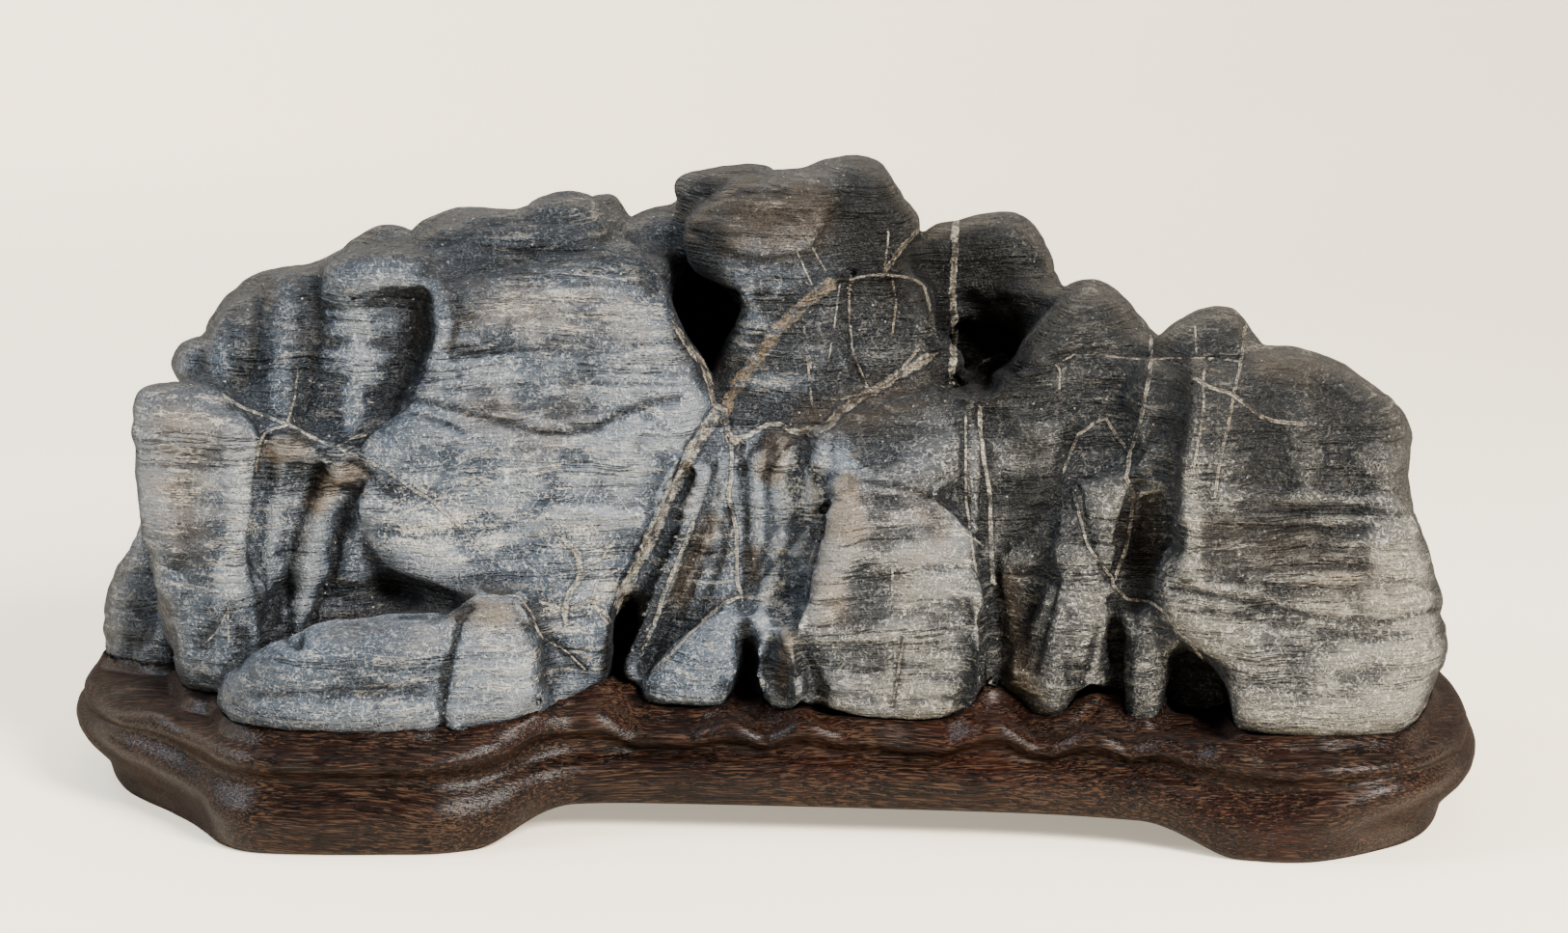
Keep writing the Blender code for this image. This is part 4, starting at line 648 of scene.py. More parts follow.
        (-0.8, 7.0, [(-173, 62), (-168, 48), (-163, 34)]),
        (0.6, 4.5, [(-151, 92), (-152, 72), (-156, 54)]),
        (0.9, 5.0, [(-141, 92), (-138, 84), (-142, 70)]),
        (-0.4, 8.0, [(-54, 42), (-54, 28)]),
        (-0.3, 9.0, [(-20, 36), (-24, 26)]),
        (-0.3, 9.0, [(14, 40), (22, 26)]),
        (-0.5, 11.0, [(134, 62), (136, 44), (134, 24)]),
        (-0.6, 8.0, [(10, 138), (8, 130)]),
        (0.9, 6.0, [(-22, 104), (-22, 96)]),
        (-0.5, 14.0, [(-122, 40), (-112, 34), (-134, 28)]),
        (-0.6, 10.0, [(-36, 40), (-42, 26)]),
        (-0.5, 9.0, [(-40, 148), (-34, 138)]),
        (0.7, 12.0, [(-38, 94), (-40, 76), (-50, 66)]),
        (0.8, 7.0, [(-22, 100), (-28, 88), (-34, 76)]),
        (1.0, 9.0, [(11, 84), (11, 68), (5, 52)]),
        (-0.9, 11.0, [(24, 126), (26, 112), (22, 100)]),
        (-1.0, 10.0, [(60, 158), (62, 146), (54, 130)]),
        (-0.6, 12.0, [(-16, 170), (6, 172), (26, 172)]),
        (-0.8, 9.0, [(74, 78), (74, 60), (74, 40), (72, 22)]),
        (-0.5, 10.0, [(90, 80), (92, 70)]),
        (-0.7, 9.0, [(-168, 30), (-152, 40)]),
        (-0.6, 12.0, [(50, 128), (42, 116), (54, 108)]),
        (-0.7, 10.0, [(-46, 44), (-40, 34), (-38, 24)]),
        (0.4, 7.0, [(-172, 82), (-154, 80), (-152, 62)]),
        (-0.7, 8.0, [(106, 34), (106, 22)]),
        (-0.6, 12.0, [(136, 78), (138, 64), (144, 56)]),
        (-0.4, 12.0, [(84, 146), (100, 144)]),
        (0.6, 5.0, [(-128, 141), (-116, 142), (-104, 143)]),
        (0.85, 7.0, [(-121, 128), (-119, 118), (-120, 104)]),
        (0.7, 4.0, [(-141, 138), (-141, 126), (-142, 114)]),
        (0.6, 4.0, [(-157, 128), (-160, 120), (-157, 112)])]}


def eyePoint():
    # where the picture is seen from, in millimetres
    return Vector(view["target"]) - view["distance"] * Vector(
        (0.0, math.cos(view["down"]), -math.sin(view["down"])))


def smoothLoop(corners, count):
    # a closed curve through the corners, p(t) = the Catmull-Rom cubic of each four
    corners = np.array(corners, dtype=float)
    place = np.linspace(0.0, len(corners), count, endpoint=False)
    at = place.astype(int)
    t = (place - at)[:, None]
    a, b, c, d = (corners[(at + step) % len(corners)] for step in (-1, 0, 1, 2))
    return 0.5 * (2 * b + (c - a) * t + (2 * a - 5 * b + 4 * c - d) * t ** 2
                  + (3 * b - a - 3 * c + d) * t ** 3)


def alongSight(across, up, depth):
    # the point at this depth on the line of sight through (across, up) of the picture:
    # eye + t (p - eye), with t = (depth - eye.y) / (p.y - eye.y)
    eye = eyePoint()
    px = across - view["shift"]
    py = (up - view["target"][2]) * math.sin(view["down"])
    pz = view["target"][2] + (up - view["target"][2]) * math.cos(view["down"])
    t = (depth - eye.y) / (py - eye.y)
    return np.stack([eye.x + t * (px - eye.x), depth, eye.z + t * (pz - eye.z)], axis=-1)


def toPicture(points):
    # alongSight turned round: a point over its distance along the view, times the
    # distance of the picture's plane
    eye = np.array(eyePoint())
    ahead = np.array((0.0, math.cos(view["down"]), -math.sin(view["down"])))
    upward = np.array((0.0, math.sin(view["down"]), math.cos(view["down"])))
    away = points - eye
    share = view["distance"] / (away @ ahead)
    across = eye[0] + away[:, 0] * share + view["shift"]
    up = view["target"][2] + (away @ upward) * share
    return np.column_stack([across, up])


def addLobe(front, back, roundness, leanAcross, leanUp, outline):
    # ring angle a from 0 at the front to pi at the back: the outline shrinks to its
    # middle as sin(a)^(2/n), and the depth runs as cos(a)^(2/n), n being the roundness,
    # which is never more than backRoundness behind the widest ring
    loop = smoothLoop(outline, stone["sides"])
    middle = loop.mean(axis=0)
    angle = np.linspace(0.0, math.pi, stone["rings"])[1:-1]
    backPower = 2.0 / min(roundness, stone["backRoundness"])
    power = np.where(angle < 0.5 * math.pi, 2.0 / roundness, backPower)
    size = np.sin(angle) ** power
    reach = np.sign(np.cos(angle)) * np.abs(np.cos(angle)) ** power
    flat = middle + (loop - middle)[None] * size[:, None, None]
    centre = 0.5 * (front + back)
    half = 0.5 * (back - front)
    depth = (centre - half * reach)[:, None] + (flat - middle) @ (leanAcross, leanUp)
    rings = alongSight(flat[..., 0], flat[..., 1], depth)
    poles = alongSight(np.full(2, middle[0]), np.full(2, middle[1]), np.array([front, back]))
    return np.concatenate([rings.reshape(-1, 3), poles])


def lobeFaces():
    # the quads between neighbouring rings, and a fan of triangles at each pole
    sides = stone["sides"]
    count = stone["rings"] - 2
    side, ring = np.meshgrid(np.arange(sides), np.arange(count - 1))
    after = (side + 1) % sides
    quads = np.stack([ring * sides + side, (ring + 1) * sides + side,
                      (ring + 1) * sides + after, ring * sides + after], axis=-1)
    side = np.arange(sides)
    after = (side + 1) % sides
    pole = np.full(sides, count * sides)
    last = (count - 1) * sides
    fans = np.concatenate([np.stack([pole, side, after], axis=1),
                           np.stack([pole + 1, last + after, last + side], axis=1)])
    return quads.reshape(-1, 4), fans


def cellCorners(low, columns):
    # the four corners of each cell of a grid, from the number of its first one
    return np.stack([low, low + 1, low + columns + 1, low + columns], axis=-1).reshape(-1, 4)


def makeObject(name, points, faces):
    mesh = bpy.data.meshes.new(name)
    mesh.from_pydata(points, [], faces)
    mesh.update()
    thing = bpy.data.objects.new(name, mesh)
    bpy.context.scene.collection.objects.link(thing)
    return thing


def faceOutward(thing):
    shape = bmesh.new()
    shape.from_mesh(thing.data)
    bmesh.ops.recalc_face_normals(shape, faces=shape.faces)
    shape.to_mesh(thing.data)
    shape.free()


def addModifier(thing, kind, **settings):
    modifier = thing.modifiers.new(kind.title(), kind)
    for name, value in settings.items():
        setattr(modifier, name, value)


def bakeModifiers(thing):
    # replaces the object's mesh by what its modifiers make of it
    evaluated = thing.evaluated_get(bpy.context.evaluated_depsgraph_get())
    mesh = bpy.data.meshes.new_from_object(evaluated)
    thing.modifiers.clear()
    thing.data = mesh


def readPoints(mesh, what="co"):
    values = np.empty(len(mesh.vertices) * 3, dtype=np.float32)
    mesh.vertices.foreach_get(what, values)
    return values.reshape(-1, 3).astype(float)


def readPairs(mesh):
    # the two points of every edge
    pairs = np.empty(len(mesh.edges) * 2, dtype=np.int32)
    mesh.edges.foreach_get("vertices", pairs)
    return pairs.reshape(-1, 2)


def writePoints(mesh, points):
    mesh.vertices.foreach_set("co", points.astype(np.float32).ravel())
    mesh.update()


def writeValue(mesh, name, values):
    layer = mesh.attributes.new(name, "FLOAT", "POINT")
    layer.data.foreach_set("value", values.astype(np.float32))


def softNoise(points, size, seed):
    # a random value from -1 to 1 at each corner of a lattice, blended with 3t^2 - 2t^3
    period = 32
    table = np.random.default_rng(seed).uniform(-1.0, 1.0, (period, period, period))
    place = points / size
    low = np.floor(place).astype(int)
    t = place - low
    t = t * t * (3.0 - 2.0 * t)
    total = np.zeros(len(points))
    for x in (0, 1):
        for y in (0, 1):
            for z in (0, 1):
                corner = (low + (x, y, z)) % period
                share = ((t[:, 0] if x else 1.0 - t[:, 0]) * (t[:, 1] if y else 1.0 - t[:, 1])
                         * (t[:, 2] if z else 1.0 - t[:, 2]))
                total += share * table[corner[:, 0], corner[:, 1], corner[:, 2]]
    return total


def layeredNoise(points, size, layers, seed):
    # sum of soft noises, each half the size and height of the one before
    return sum(0.5 ** layer * softNoise(points, size * 0.5 ** layer, seed + layer)
               for layer in range(layers))


def toPath(flat, path):
    # distance to the nearest stretch of the path, and on which side of it (left is +)
    near = np.full(len(flat), np.inf)
    side = np.ones(len(flat))
    for start, end in zip(path[:-1], path[1:]):
        start = np.array(start, dtype=float)
        ahead = np.array(end, dtype=float) - start
        share = np.clip(((flat - start) @ ahead) / (ahead @ ahead), 0.0, 1.0)
        away = flat - start - share[:, None] * ahead
        gap = np.hypot(away[:, 0], away[:, 1])
        closer = gap < near
        near = np.where(closer, gap, near)
        side = np.where(closer, np.sign(ahead[0] * away[:, 1] - ahead[1] * away[:, 0]), side)
    return near, side


def nearby(flat, path, reach):
    # which points are in the path's own box, grown by reach, and how far from the path
    corners = np.array(path, dtype=float)
    low = corners.min(axis=0) - reach
    high = corners.max(axis=0) + reach
    at = np.flatnonzero(((flat > low) & (flat < high)).all(axis=1))
    return at, toPath(flat[at], path)[0]


def facing(points, normals):
    # 1 on what is turned to the picture's eye, easing to 0 as it turns away:
    # (normal . toEye + 0.1) / 0.5, held between both
    toEye = np.array(eyePoint()) - points
    toEye /= np.linalg.norm(toEye, axis=1)[:, None]
    return np.clip(((normals * toEye).sum(axis=1) + 0.1) / 0.5, 0.0, 1.0)


def averageAround(points, pairs, turns):
    # each turn puts every point at the average of itself and its neighbours
    count = np.bincount(pairs.ravel(), minlength=len(points)).astype(float) + 1.0
    for _ in range(turns):
        total = points.copy()
        for axis in range(points.shape[1]):
            total[:, axis] += np.bincount(pairs[:, 0], points[pairs[:, 1], axis], len(points))
            total[:, axis] += np.bincount(pairs[:, 1], points[pairs[:, 0], axis], len(points))
        points = total / count[:, None]
    return points


def easedStep(value, low, high):
    # 0 below low, 1 above high, 3t^2 - 2t^3 between
    t = np.clip((value - low) / (high - low), 0.0, 1.0)
    return t * t * (3.0 - 2.0 * t)


def cutFlat(thing, height):
    # removes what is below the seat and closes the cut
    shape = bmesh.new()
    shape.from_mesh(thing.data)
    everything = shape.verts[:] + shape.edges[:] + shape.faces[:]
    bmesh.ops.bisect_plane(shape, geom=everything, dist=1e-7, plane_co=(0.0, 0.0, height),
                           plane_no=(0.0, 0.0, 1.0), clear_inner=True)
    rim = [edge for edge in shape.edges if edge.is_boundary]
    bmesh.ops.holes_fill(shape, edges=rim, sides=0)
    bmesh.ops.triangulate(shape, faces=[face for face in shape.faces if len(face.verts) > 4])
    shape.to_mesh(thing.data)
    shape.free()


def keepLargest(thing):
    # leaves the one outer skin: every point takes the lowest number in its skin
    mesh = thing.data
    pairs = readPairs(mesh)
    label = np.arange(len(mesh.vertices))
    while True:
        low = np.minimum(label[pairs[:, 0]], label[pairs[:, 1]])
        fresh = label.copy()
        np.minimum.at(fresh, label[pairs[:, 0]], low)
        np.minimum.at(fresh, label[pairs[:, 1]], low)
        fresh = fresh[fresh]
        if (fresh == label).all():
            break
        label = fresh
    main = np.bincount(label).argmax()
    spare = np.flatnonzero(label != main)
    if len(spare):
        shape = bmesh.new()
        shape.from_mesh(mesh)
        shape.verts.ensure_lookup_table()
        bmesh.ops.delete(shape, geom=[shape.verts[at] for at in spare], context="VERTS")
        shape.to_mesh(mesh)
        shape.free()


def frontDepth(flat, front, back, roundness, leanAcross, leanUp, outline):
    # the depth of a lobe's front at each place of the picture, the same surface as
    # addLobe: centre - half (1 - r^n)^(1/n), r being the share of the way to the outline
    loop = smoothLoop(outline, 180)
    middle = loop.mean(axis=0)
    arms = loop - middle
    turns = np.arctan2(arms[:, 1], arms[:, 0])
    order = np.argsort(turns)
    away = flat - middle
    reach = np.interp(np.arctan2(away[:, 1], away[:, 0]), turns[order],
                      np.hypot(arms[:, 0], arms[:, 1])[order], period=2.0 * math.pi)
    share = np.hypot(away[:, 0], away[:, 1]) / reach
    bulge = np.clip(1.0 - share ** roundness, 0.0, 1.0) ** (1.0 / roundness)
    depth = 0.5 * (front + back) - 0.5 * (back - front) * bulge + away @ (leanAcross, leanUp)
    return np.where(share < 1.0, depth, farDepth)


def shifted(grid, right, up):
    # the grid moved by whole cells, with its rim repeated
    rows, columns = grid.shape
    row = np.clip(np.arange(rows) - up, 0, rows - 1)
    column = np.clip(np.arange(columns) - right, 0, columns - 1)
    return grid[row][:, column]


def makeSkin():
    # fills the narrow gaps between the lobes: over a grid of the picture the front's
    # depth is closed with a disc (its nearest value around each cell, then the farthest
    # of those), and the space between both depths becomes a thin solid
    fillSize = stone["fill"]
    grid = np.stack(np.meshgrid(np.arange(*stone["skinAcross"]), np.arange(*stone["skinUp"])),
                    axis=-1)
    flat = grid.reshape(-1, 2)
    depth = np.min([frontDepth(flat, *lobe[1:]) for lobe in lobes], axis=0)
    depth = depth.reshape(grid.shape[:2])
    onStone = depth < 0.5 * farDepth
    disc = [(right, above) for right in range(-fillSize, fillSize + 1)
            for above in range(-fillSize, fillSize + 1)
            if right ** 2 + above ** 2 <= fillSize ** 2 + 1]
    nearest = np.min([shifted(depth, *step) for step in disc], axis=0)
    closed = np.max([shifted(nearest, *step) for step in disc], axis=0)
    fill = np.where(onStone, depth - closed, 0.0)
    keep = np.ones(len(flat))
    for width, path in gaps:
        gap = toPath(flat, path)[0]
        keep = np.minimum(keep, 1.0 - np.exp(-(gap / width) ** 4))
    fill *= keep.reshape(fill.shape)
    for _ in range(2):
        fill = sum(shifted(fill, right, above) * (0.25 if right == above == 0 else
                                                  0.125 if right * above == 0 else 0.0625)
                   for right in (-1, 0, 1) for above in (-1, 0, 1))
    used = (fill > stone["fillLeast"]) & onStone
    row, column = np.nonzero(used[:-1, :-1] & used[1:, :-1] & used[:-1, 1:] & used[1:, 1:])
    corners = cellCorners(row * used.shape[1] + column, used.shape[1])
    count = used.size
    safe = np.where(onStone, depth, 0.0).ravel()
    points = np.concatenate([
        alongSight(flat[:, 0], flat[:, 1], safe - fill.ravel()),
        alongSight(flat[:, 0], flat[:, 1], safe + stone["skinDepth"])])
    # an edge that only one cell has is on the rim, and takes a wall
    edges = np.concatenate([corners[:, [at, (at + 1) % 4]] for at in range(4)])
    key = np.sort(edges, axis=1)
    _, first, times = np.unique(key[:, 0] * count + key[:, 1], return_index=True,
                                return_counts=True)
    rim = edges[first[times == 1]]
    walls = np.column_stack([rim[:, 1], rim[:, 0], rim[:, 0] + count, rim[:, 1] + count])
    faces = np.concatenate([corners, corners[:, ::-1] + count, walls])
    kept = np.unique(faces)
    number = np.zeros(2 * count, dtype=int)
    number[kept] = np.arange(len(kept))
    return points[kept], number[faces]


def easeStone(mesh):
    # blends the lobes into one worn mass: points move part of the way to the average of
    # their surroundings, more on the seen side
    points = readPoints(mesh)
    smooth = averageAround(points, readPairs(mesh), stone["ease"])
    share = stone["easeShare"] * facing(points / mm, readPoints(mesh, "normal"))
    writePoints(mesh, points + share[:, None] * (smooth - points))


# how the stone is worn: heights and sizes are millimetres, (height, size) for a noise
wear = {
    "veinHeight": 0.3, "veinWidth": 1.1, "beds": (0.45, 1.0, 1.6), "broad": (1.1, 24.0),
    "fine": (0.35, 6.5), "ridges": [(2.4, 27.0), (0.9, 11.0)], "ridgeLevel": 0.3,
    "ledges": 0.28, "ledgeTurn": 0.62, "ledgeBend": (2.2, 30.0), "ledgePatches": 40.0,
    # how far from its path a stroke still counts: in widths, and in mm for a crease's mark
    "creaseReach": 5.0, "reach": 3.0, "markReach": 4.0}


def wearStone(mesh):
    # moves each point along its normal: a crease cuts in by depth e^(-gap/width), a swell
    # lifts by height e^(-(gap/width)^2), a vein by its height, and noise roughens it all
    points = readPoints(mesh) / mm
    normals = readPoints(mesh, "normal")
    flat = toPicture(points)
    seen = facing(points, normals)
    seed = stone["seed"]
    lift = np.zeros(len(points))
    for width, depth, path in creases:
        at, gap = nearby(flat, path, wear["creaseReach"] * width)
        lift[at] -= seen[at] * depth * np.exp(-gap / width)
    for width, height, path in swells:
        at, gap = nearby(flat, path, wear["reach"] * width)
        lift[at] += seen[at] * height * np.exp(-(gap / width) ** 2)
    for _, width, height, _, path in veins:
        at, gap = nearby(flat, path, wear["reach"] * width)
        lift[at] += (wear["veinHeight"] * seen[at] * height
                     * np.exp(-(gap / (wear["veinWidth"] * width)) ** 4))
    bedded = points * wear["beds"]
    height, size = wear["broad"]
    lift += height * layeredNoise(bedded, size, 3, seed)
    height, size = wear["fine"]
    lift += height * layeredNoise(points, size, 3, seed + 10)
    for number, (height, size) in enumerate(wear["ridges"]):
        ridge = np.abs(softNoise(bedded, size, seed + 30 + number))
        lift += height * (ridge - wear["ridgeLevel"])
    bend, size = wear["ledgeBend"]
    ledges = np.sin(wear["ledgeTurn"] * points[:, 2] + bend * softNoise(bedded, size, seed + 20))
    patches = 0.5 + 0.5 * softNoise(points, wear["ledgePatches"], seed + 21)
    lift += wear["ledges"] * ledges * patches
    writePoints(mesh, (points + normals * lift[:, None]) * mm)


def markStone(mesh):
    # values for the material: veins as distance over half width, tones with painted light
    # and shade, creases for painted shade, how far a surface is turned to the side (for
    # painted shade) or up, and hollows as the height of a smoothed surface over the real one,
    # for painted shade in hollows and painted light on edges
    points = readPoints(mesh) / mm
    normals = readPoints(mesh, "normal")
    pairs = readPairs(mesh)
    flat = toPicture(points)
    seen = facing(points, normals)
    # how far from a vein the values still count, in half widths
    far = 60.0
    for group in range(veinGroups):
        line = np.full(len(points), far)
        near = np.full(len(points), far)
        brown = np.zeros(len(points))
        for of, width, _, warmth, path in veins:
            if of != group:
                continue
            gap, side = toPath(flat, path)
            closer = gap / width < near
            near = np.where(closer, gap / width, near)
            line = np.where(closer, gap * side / width, line)
            brown = np.where(closer, warmth, brown)
        writeValue(mesh, "veinLine%d" % group, np.clip(line, -far, far))
        writeValue(mesh, "veinNear%d" % group, np.clip(near, 0.0, far))
        writeValue(mesh, "veinWarm%d" % group, brown)
    # the tones, among them painted light and shade and the black strokes' painted shade
    for name, strokes in tones.items():
        value = np.zeros(len(points))
        for strength, radius, path in strokes:
            at, gap = nearby(flat, path, wear["reach"] * radius)
            value[at] += seen[at] * strength * np.exp(-(gap / radius) ** 2)
        writeValue(mesh, name, np.clip(value, -1.0, 1.0))
    # painted shade in the creases: a crease is marked by min(1, 0.3 + 0.3 depth), over
    # 0.3 + 0.25 of its width
    crease = np.zeros(len(points))
    for width, depth, path in creases:
        at, gap = nearby(flat, path, wear["markReach"])
        cut = seen[at] * min(1.0, 0.3 + 0.3 * depth) * np.exp(-(gap / (0.3 + 0.25 * width)) ** 2)
        crease[at] = np.maximum(crease[at], cut)
    writeValue(mesh, "crease", crease)
    upward = np.maximum(normals[:, 2:], 0.0)
    # how far a surface faces to the side, for the painted shade on the flanks
    flank = 1.0 - np.hypot(normals[:, 1:2], 0.8 * upward)
    writeValue(mesh, "flank", averageAround(flank, pairs, stone["fineTurns"])[:, 0])
    tops = averageAround(upward, pairs, stone["topTurns"])[:, 0]
    writeValue(mesh, "top", tops * easedStep(points[:, 2], *stone["topHeights"]))
    fine = averageAround(points, pairs, stone["fineTurns"])
    broad = averageAround(fine, pairs, stone["broadTurns"])
    # hollows, for the painted shade in them and the painted light on edges
    writeValue(mesh, "fineHollow", ((fine - points) * normals).sum(axis=1))
    writeValue(mesh, "hollow", ((broad - points) * normals).sum(axis=1))


def makeStone():
    # every lobe, and the skin over the gaps between them, joined by a voxel remesh
    allPoints = []
    allFaces = []
    first = 0
    quads, fans = lobeFaces()
    for lobe in lobes:
        points = addLobe(*lobe[1:])
        allPoints.append(points)
        allFaces.extend((quads + first).tolist())
        allFaces.extend((fans + first).tolist())
        first += len(points)
    points, skinFaces = makeSkin()
    allPoints.append(points)
    allFaces.extend((skinFaces + first).tolist())
    rock = makeObject("rockWorn", np.concatenate(allPoints) * mm, allFaces)
    faceOutward(rock)
    addModifier(rock, "REMESH", mode="VOXEL", voxel_size=stone["voxel"] * mm)
    addModifier(rock, "SMOOTH", factor=0.5, iterations=stone["smooth"])
    bakeModifiers(rock)
    print("stone joined", len(rock.data.vertices))
    easeStone(rock.data)
    wearStone(rock.data)
    cutFlat(rock, stone["seat"] * mm)
    keepLargest(rock)
    triangles = sum(len(face.vertices) - 2 for face in rock.data.polygons)
    print("stone worn", triangles)
    if triangles > stone["faces"]:
        addModifier(rock, "DECIMATE", ratio=stone["faces"] / triangles)
        bakeModifiers(rock)
    rock.data.shade_smooth()
    markStone(rock.data)
    return rock


# what a user would change on the stand, in millimetres
wood = {
    "length": 399.0, "aroundCount": 660, "sideRings": 52, "deckRings": 92, "deckHeight": 28.2,
    # the space between the feet, and how far it takes to turn into them
    "archLeft": -52.0, "archRight": 100.0, "archTurn": 26.0,
    # where the feet's fronts turn into the ends, counted from endMiddle
    "endMiddle": -5.0, "endFrom": 138.0, "endTo": 180.0,
    # the line that the deck's rings close on, and how they crowd toward the rim
    "spineHalf": 130.0, "spineShare": 0.96, "spineDepth": 0.02, "crowding": 1.3,
    # the rim's swellings: how deep, the heights where they set in, how far they are from
    # the middle line, and how much they lean out, up to how far in
    "knobDepth": 8.5, "knobHeights": (19.0, 25.0), "knobPlaces": (20.0, 50.0),
    "knobLean": 0.4, "leanDepths": (6.0, 12.0),
    # the knife's marks, and the heights where they set in
    "marks": 0.35, "markSize": 16.0, "markHeights": (9.0, 16.0), "seed": 40,
    # how much the wood rises around the stone's low places and under its higher ones, how
    # high those are, how far the rise spreads, and the shares that it eases between
    "seatRise": 2.2, "seatUnder": 31.0, "seatSpread": 16, "seatShares": (0.02, 0.45),
    "betweenRise": 3.2, "betweenUnder": 40.0, "betweenSpread": 14, "betweenShares": (0.3, 0.9),
    # the seat: where it may be cut, its gap to the stone, and how round its edge is
    "deckHeights": (26.0, 28.0), "seatFrom": 27.5, "seatGap": 0.2, "seatRound": 0.8}

# The stand seen from above, at the widest part of its side (mm).
standPlan = [
    (-199, 10), (-198, -10), (-192, -29), (-183, -43), (-172, -53), (-163, -61), (-156, -69),
    (-149, -78), (-138, -85), (-120, -87), (-102, -87), (-86, -86), (-70, -79), (-58, -70),
    (-44, -67), (-18, -68), (32, -72), (77, -77), (106, -84), (130, -92), (152, -95),
    (174, -88), (190, -70), (198, -44), (200, -12), (197, 20), (189, 50), (172, 74), (146, 89),
    (105, 95), (55, 94), (0, 96), (-60, 97), (-115, 96), (-157, 85), (-183, 61), (-196, 34)]

# The stand's side from the floor up, how far in from the plan and how high: at its left
# and right ends, on the front of its feet, and between them. Equal places in the lists
# belong together, so the swelling's ridge runs down from the ends to the feet's fronts.
endSide = [
    (16.0, 0.4), (12.5, 0.0), (10.6, 0.2), (9.8, 1.5), (9.3, 3.5), (8.6, 6.0), (6.8, 8.8),
    (4.4, 11.4), (2.0, 14.0), (0.5, 16.6), (0.0, 18.8), (0.6, 20.8), (1.9, 22.1), (2.9, 22.8),
    (3.0, 23.6), (2.6, 24.6), (2.6, 25.8), (3.4, 26.9), (5.0, 27.7), (8.0, 28.1), (12.0, 28.2)]
frontSide = [
    (16.0, 0.4), (5.0, 0.0), (2.4, 0.2), (1.4, 1.2), (0.9, 3.0), (0.5, 5.0), (0.2, 7.0),
    (0.0, 9.0), (0.2, 11.0), (0.9, 13.0), (2.4, 15.0), (4.0, 16.6), (5.2, 18.2), (5.4, 19.8),
    (4.6, 21.4), (3.4, 22.8), (2.6, 24.2), (2.6, 25.6), (3.8, 27.0), (6.4, 28.0), (11.0, 28.2)]
middleSide = [
    (16.0, 8.2), (11.0, 8.0), (5.0, 8.0), (2.6, 8.2), (1.6, 8.8), (1.1, 10.0), (0.7, 11.4),
    (0.4, 13.0), (0.2, 14.8), (0.2, 16.6), (0.6, 18.4), (1.5, 19.6), (3.6, 20.3), (6.0, 20.9),
    (7.2, 21.9), (6.6, 23.0), (4.8, 24.0), (4.1, 25.4), (5.2, 27.0), (8.0, 28.0), (11.4, 28.2)]

# Carved swellings of the rim: (X, how far to its left and right, how high, how far in)
knobs = [
    (-64, 30, 12, 3.0, 8), (-47, 24, 12, 6.0, 8), (-9, 12, 9, 3.2, 7), (11, 11, 11, 4.2, 6),
    (26, 10, 14, 1.6, 7), (62, 14, 12, 5.6, 7), (88, 11, 11, 4.2, 7), (107, 10, 9, 2.8, 7),
    (123, 11, 13, 2.8, 8), (-168, 12, 10, 1.8, 9)]
# Points of wood that stand up between the stone's feet: (X, Y, radius, height)
peaks = [
    (-46, -44, 13, 9), (-7, -50, 9, 5), (8, -52, 7, 3), (61, -52, 12, 8), (92, -58, 10, 6),
    (113, -62, 11, 4), (-176, -20, 10, 2)]

# half of the grid of square millimetres that the deck is carved on, the highest that the
# stone's underside is looked for, and the height that stands for no stone
deckHalf = np.array((220, 120))
highestUnder = 50.0
noStone = 99.0


def footShare(x):
    # 1 over the feet at the two ends, 0 over the space between them
    left = easedStep(-x, -wood["archLeft"], -wood["archLeft"] + wood["archTurn"])
    right = easedStep(x, wood["archRight"], wood["archRight"] + wood["archTurn"])
    return np.maximum(left, right)


def stoneUnderside(rock):
    # how high the stone's surface starts over each cell of the deck, from its corners,
    # the middles of its faces and of its edges
    points = readPoints(rock.data) / mm
    faceMiddles = np.empty(len(rock.data.polygons) * 3, dtype=np.float32)
    rock.data.polygons.foreach_get("center", faceMiddles)
    edgeMiddles = points[readPairs(rock.data)].mean(axis=1)
    points = np.concatenate([points, faceMiddles.reshape(-1, 3) / mm, edgeMiddles])
    points = points[points[:, 2] < highestUnder]
    cell = np.floor(points[:, :2] + deckHalf).astype(int)
    under = np.full(2 * deckHalf, noStone)
    np.minimum.at(under, (cell[:, 0], cell[:, 1]), points[:, 2])
    # a cell that was missed takes the mean of its neighbours where most of them have one
    around = np.stack([np.roll(under, (right, up), (0, 1))
                       for right in (-1, 0, 1) for up in (-1, 0, 1)])
    have = around < noStone
    mean = np.where(have, around, 0.0).sum(axis=0) / np.maximum(have.sum(axis=0), 1)
    return np.where((under == noStone) & (have.sum(axis=0) > 4), mean, under)


def spreadOut(grid, turns):
    # each cell becomes the average of itself and its four neighbours, again and again
    for _ in range(turns):
        grid = 0.2 * (grid + np.roll(grid, 1, 0) + np.roll(grid, -1, 0)
                      + np.roll(grid, 1, 1) + np.roll(grid, -1, 1))
    return grid


def sample(grid, flat):
    # the grid's value at each place, from its four nearest cells
    place = np.clip(flat + (deckHalf - 0.5), 0.0, 2.0 * deckHalf - 2.0)
    low = place.astype(int)
    t = place - low
    right, above = t[:, 0], t[:, 1]
    return ((1 - right) * (1 - above) * grid[low[:, 0], low[:, 1]]
            + right * (1 - above) * grid[low[:, 0] + 1, low[:, 1]]
            + (1 - right) * above * grid[low[:, 0], low[:, 1] + 1]
            + right * above * grid[low[:, 0] + 1, low[:, 1] + 1])


def widestPlan(count):
    # the plan's curve, centred and brought to the stand's length
    plan = smoothLoop(standPlan, count)
    plan -= 0.5 * (plan.max(axis=0) + plan.min(axis=0))
    return plan * (wood["length"] / (plan[:, 0].max() - plan[:, 0].min()))


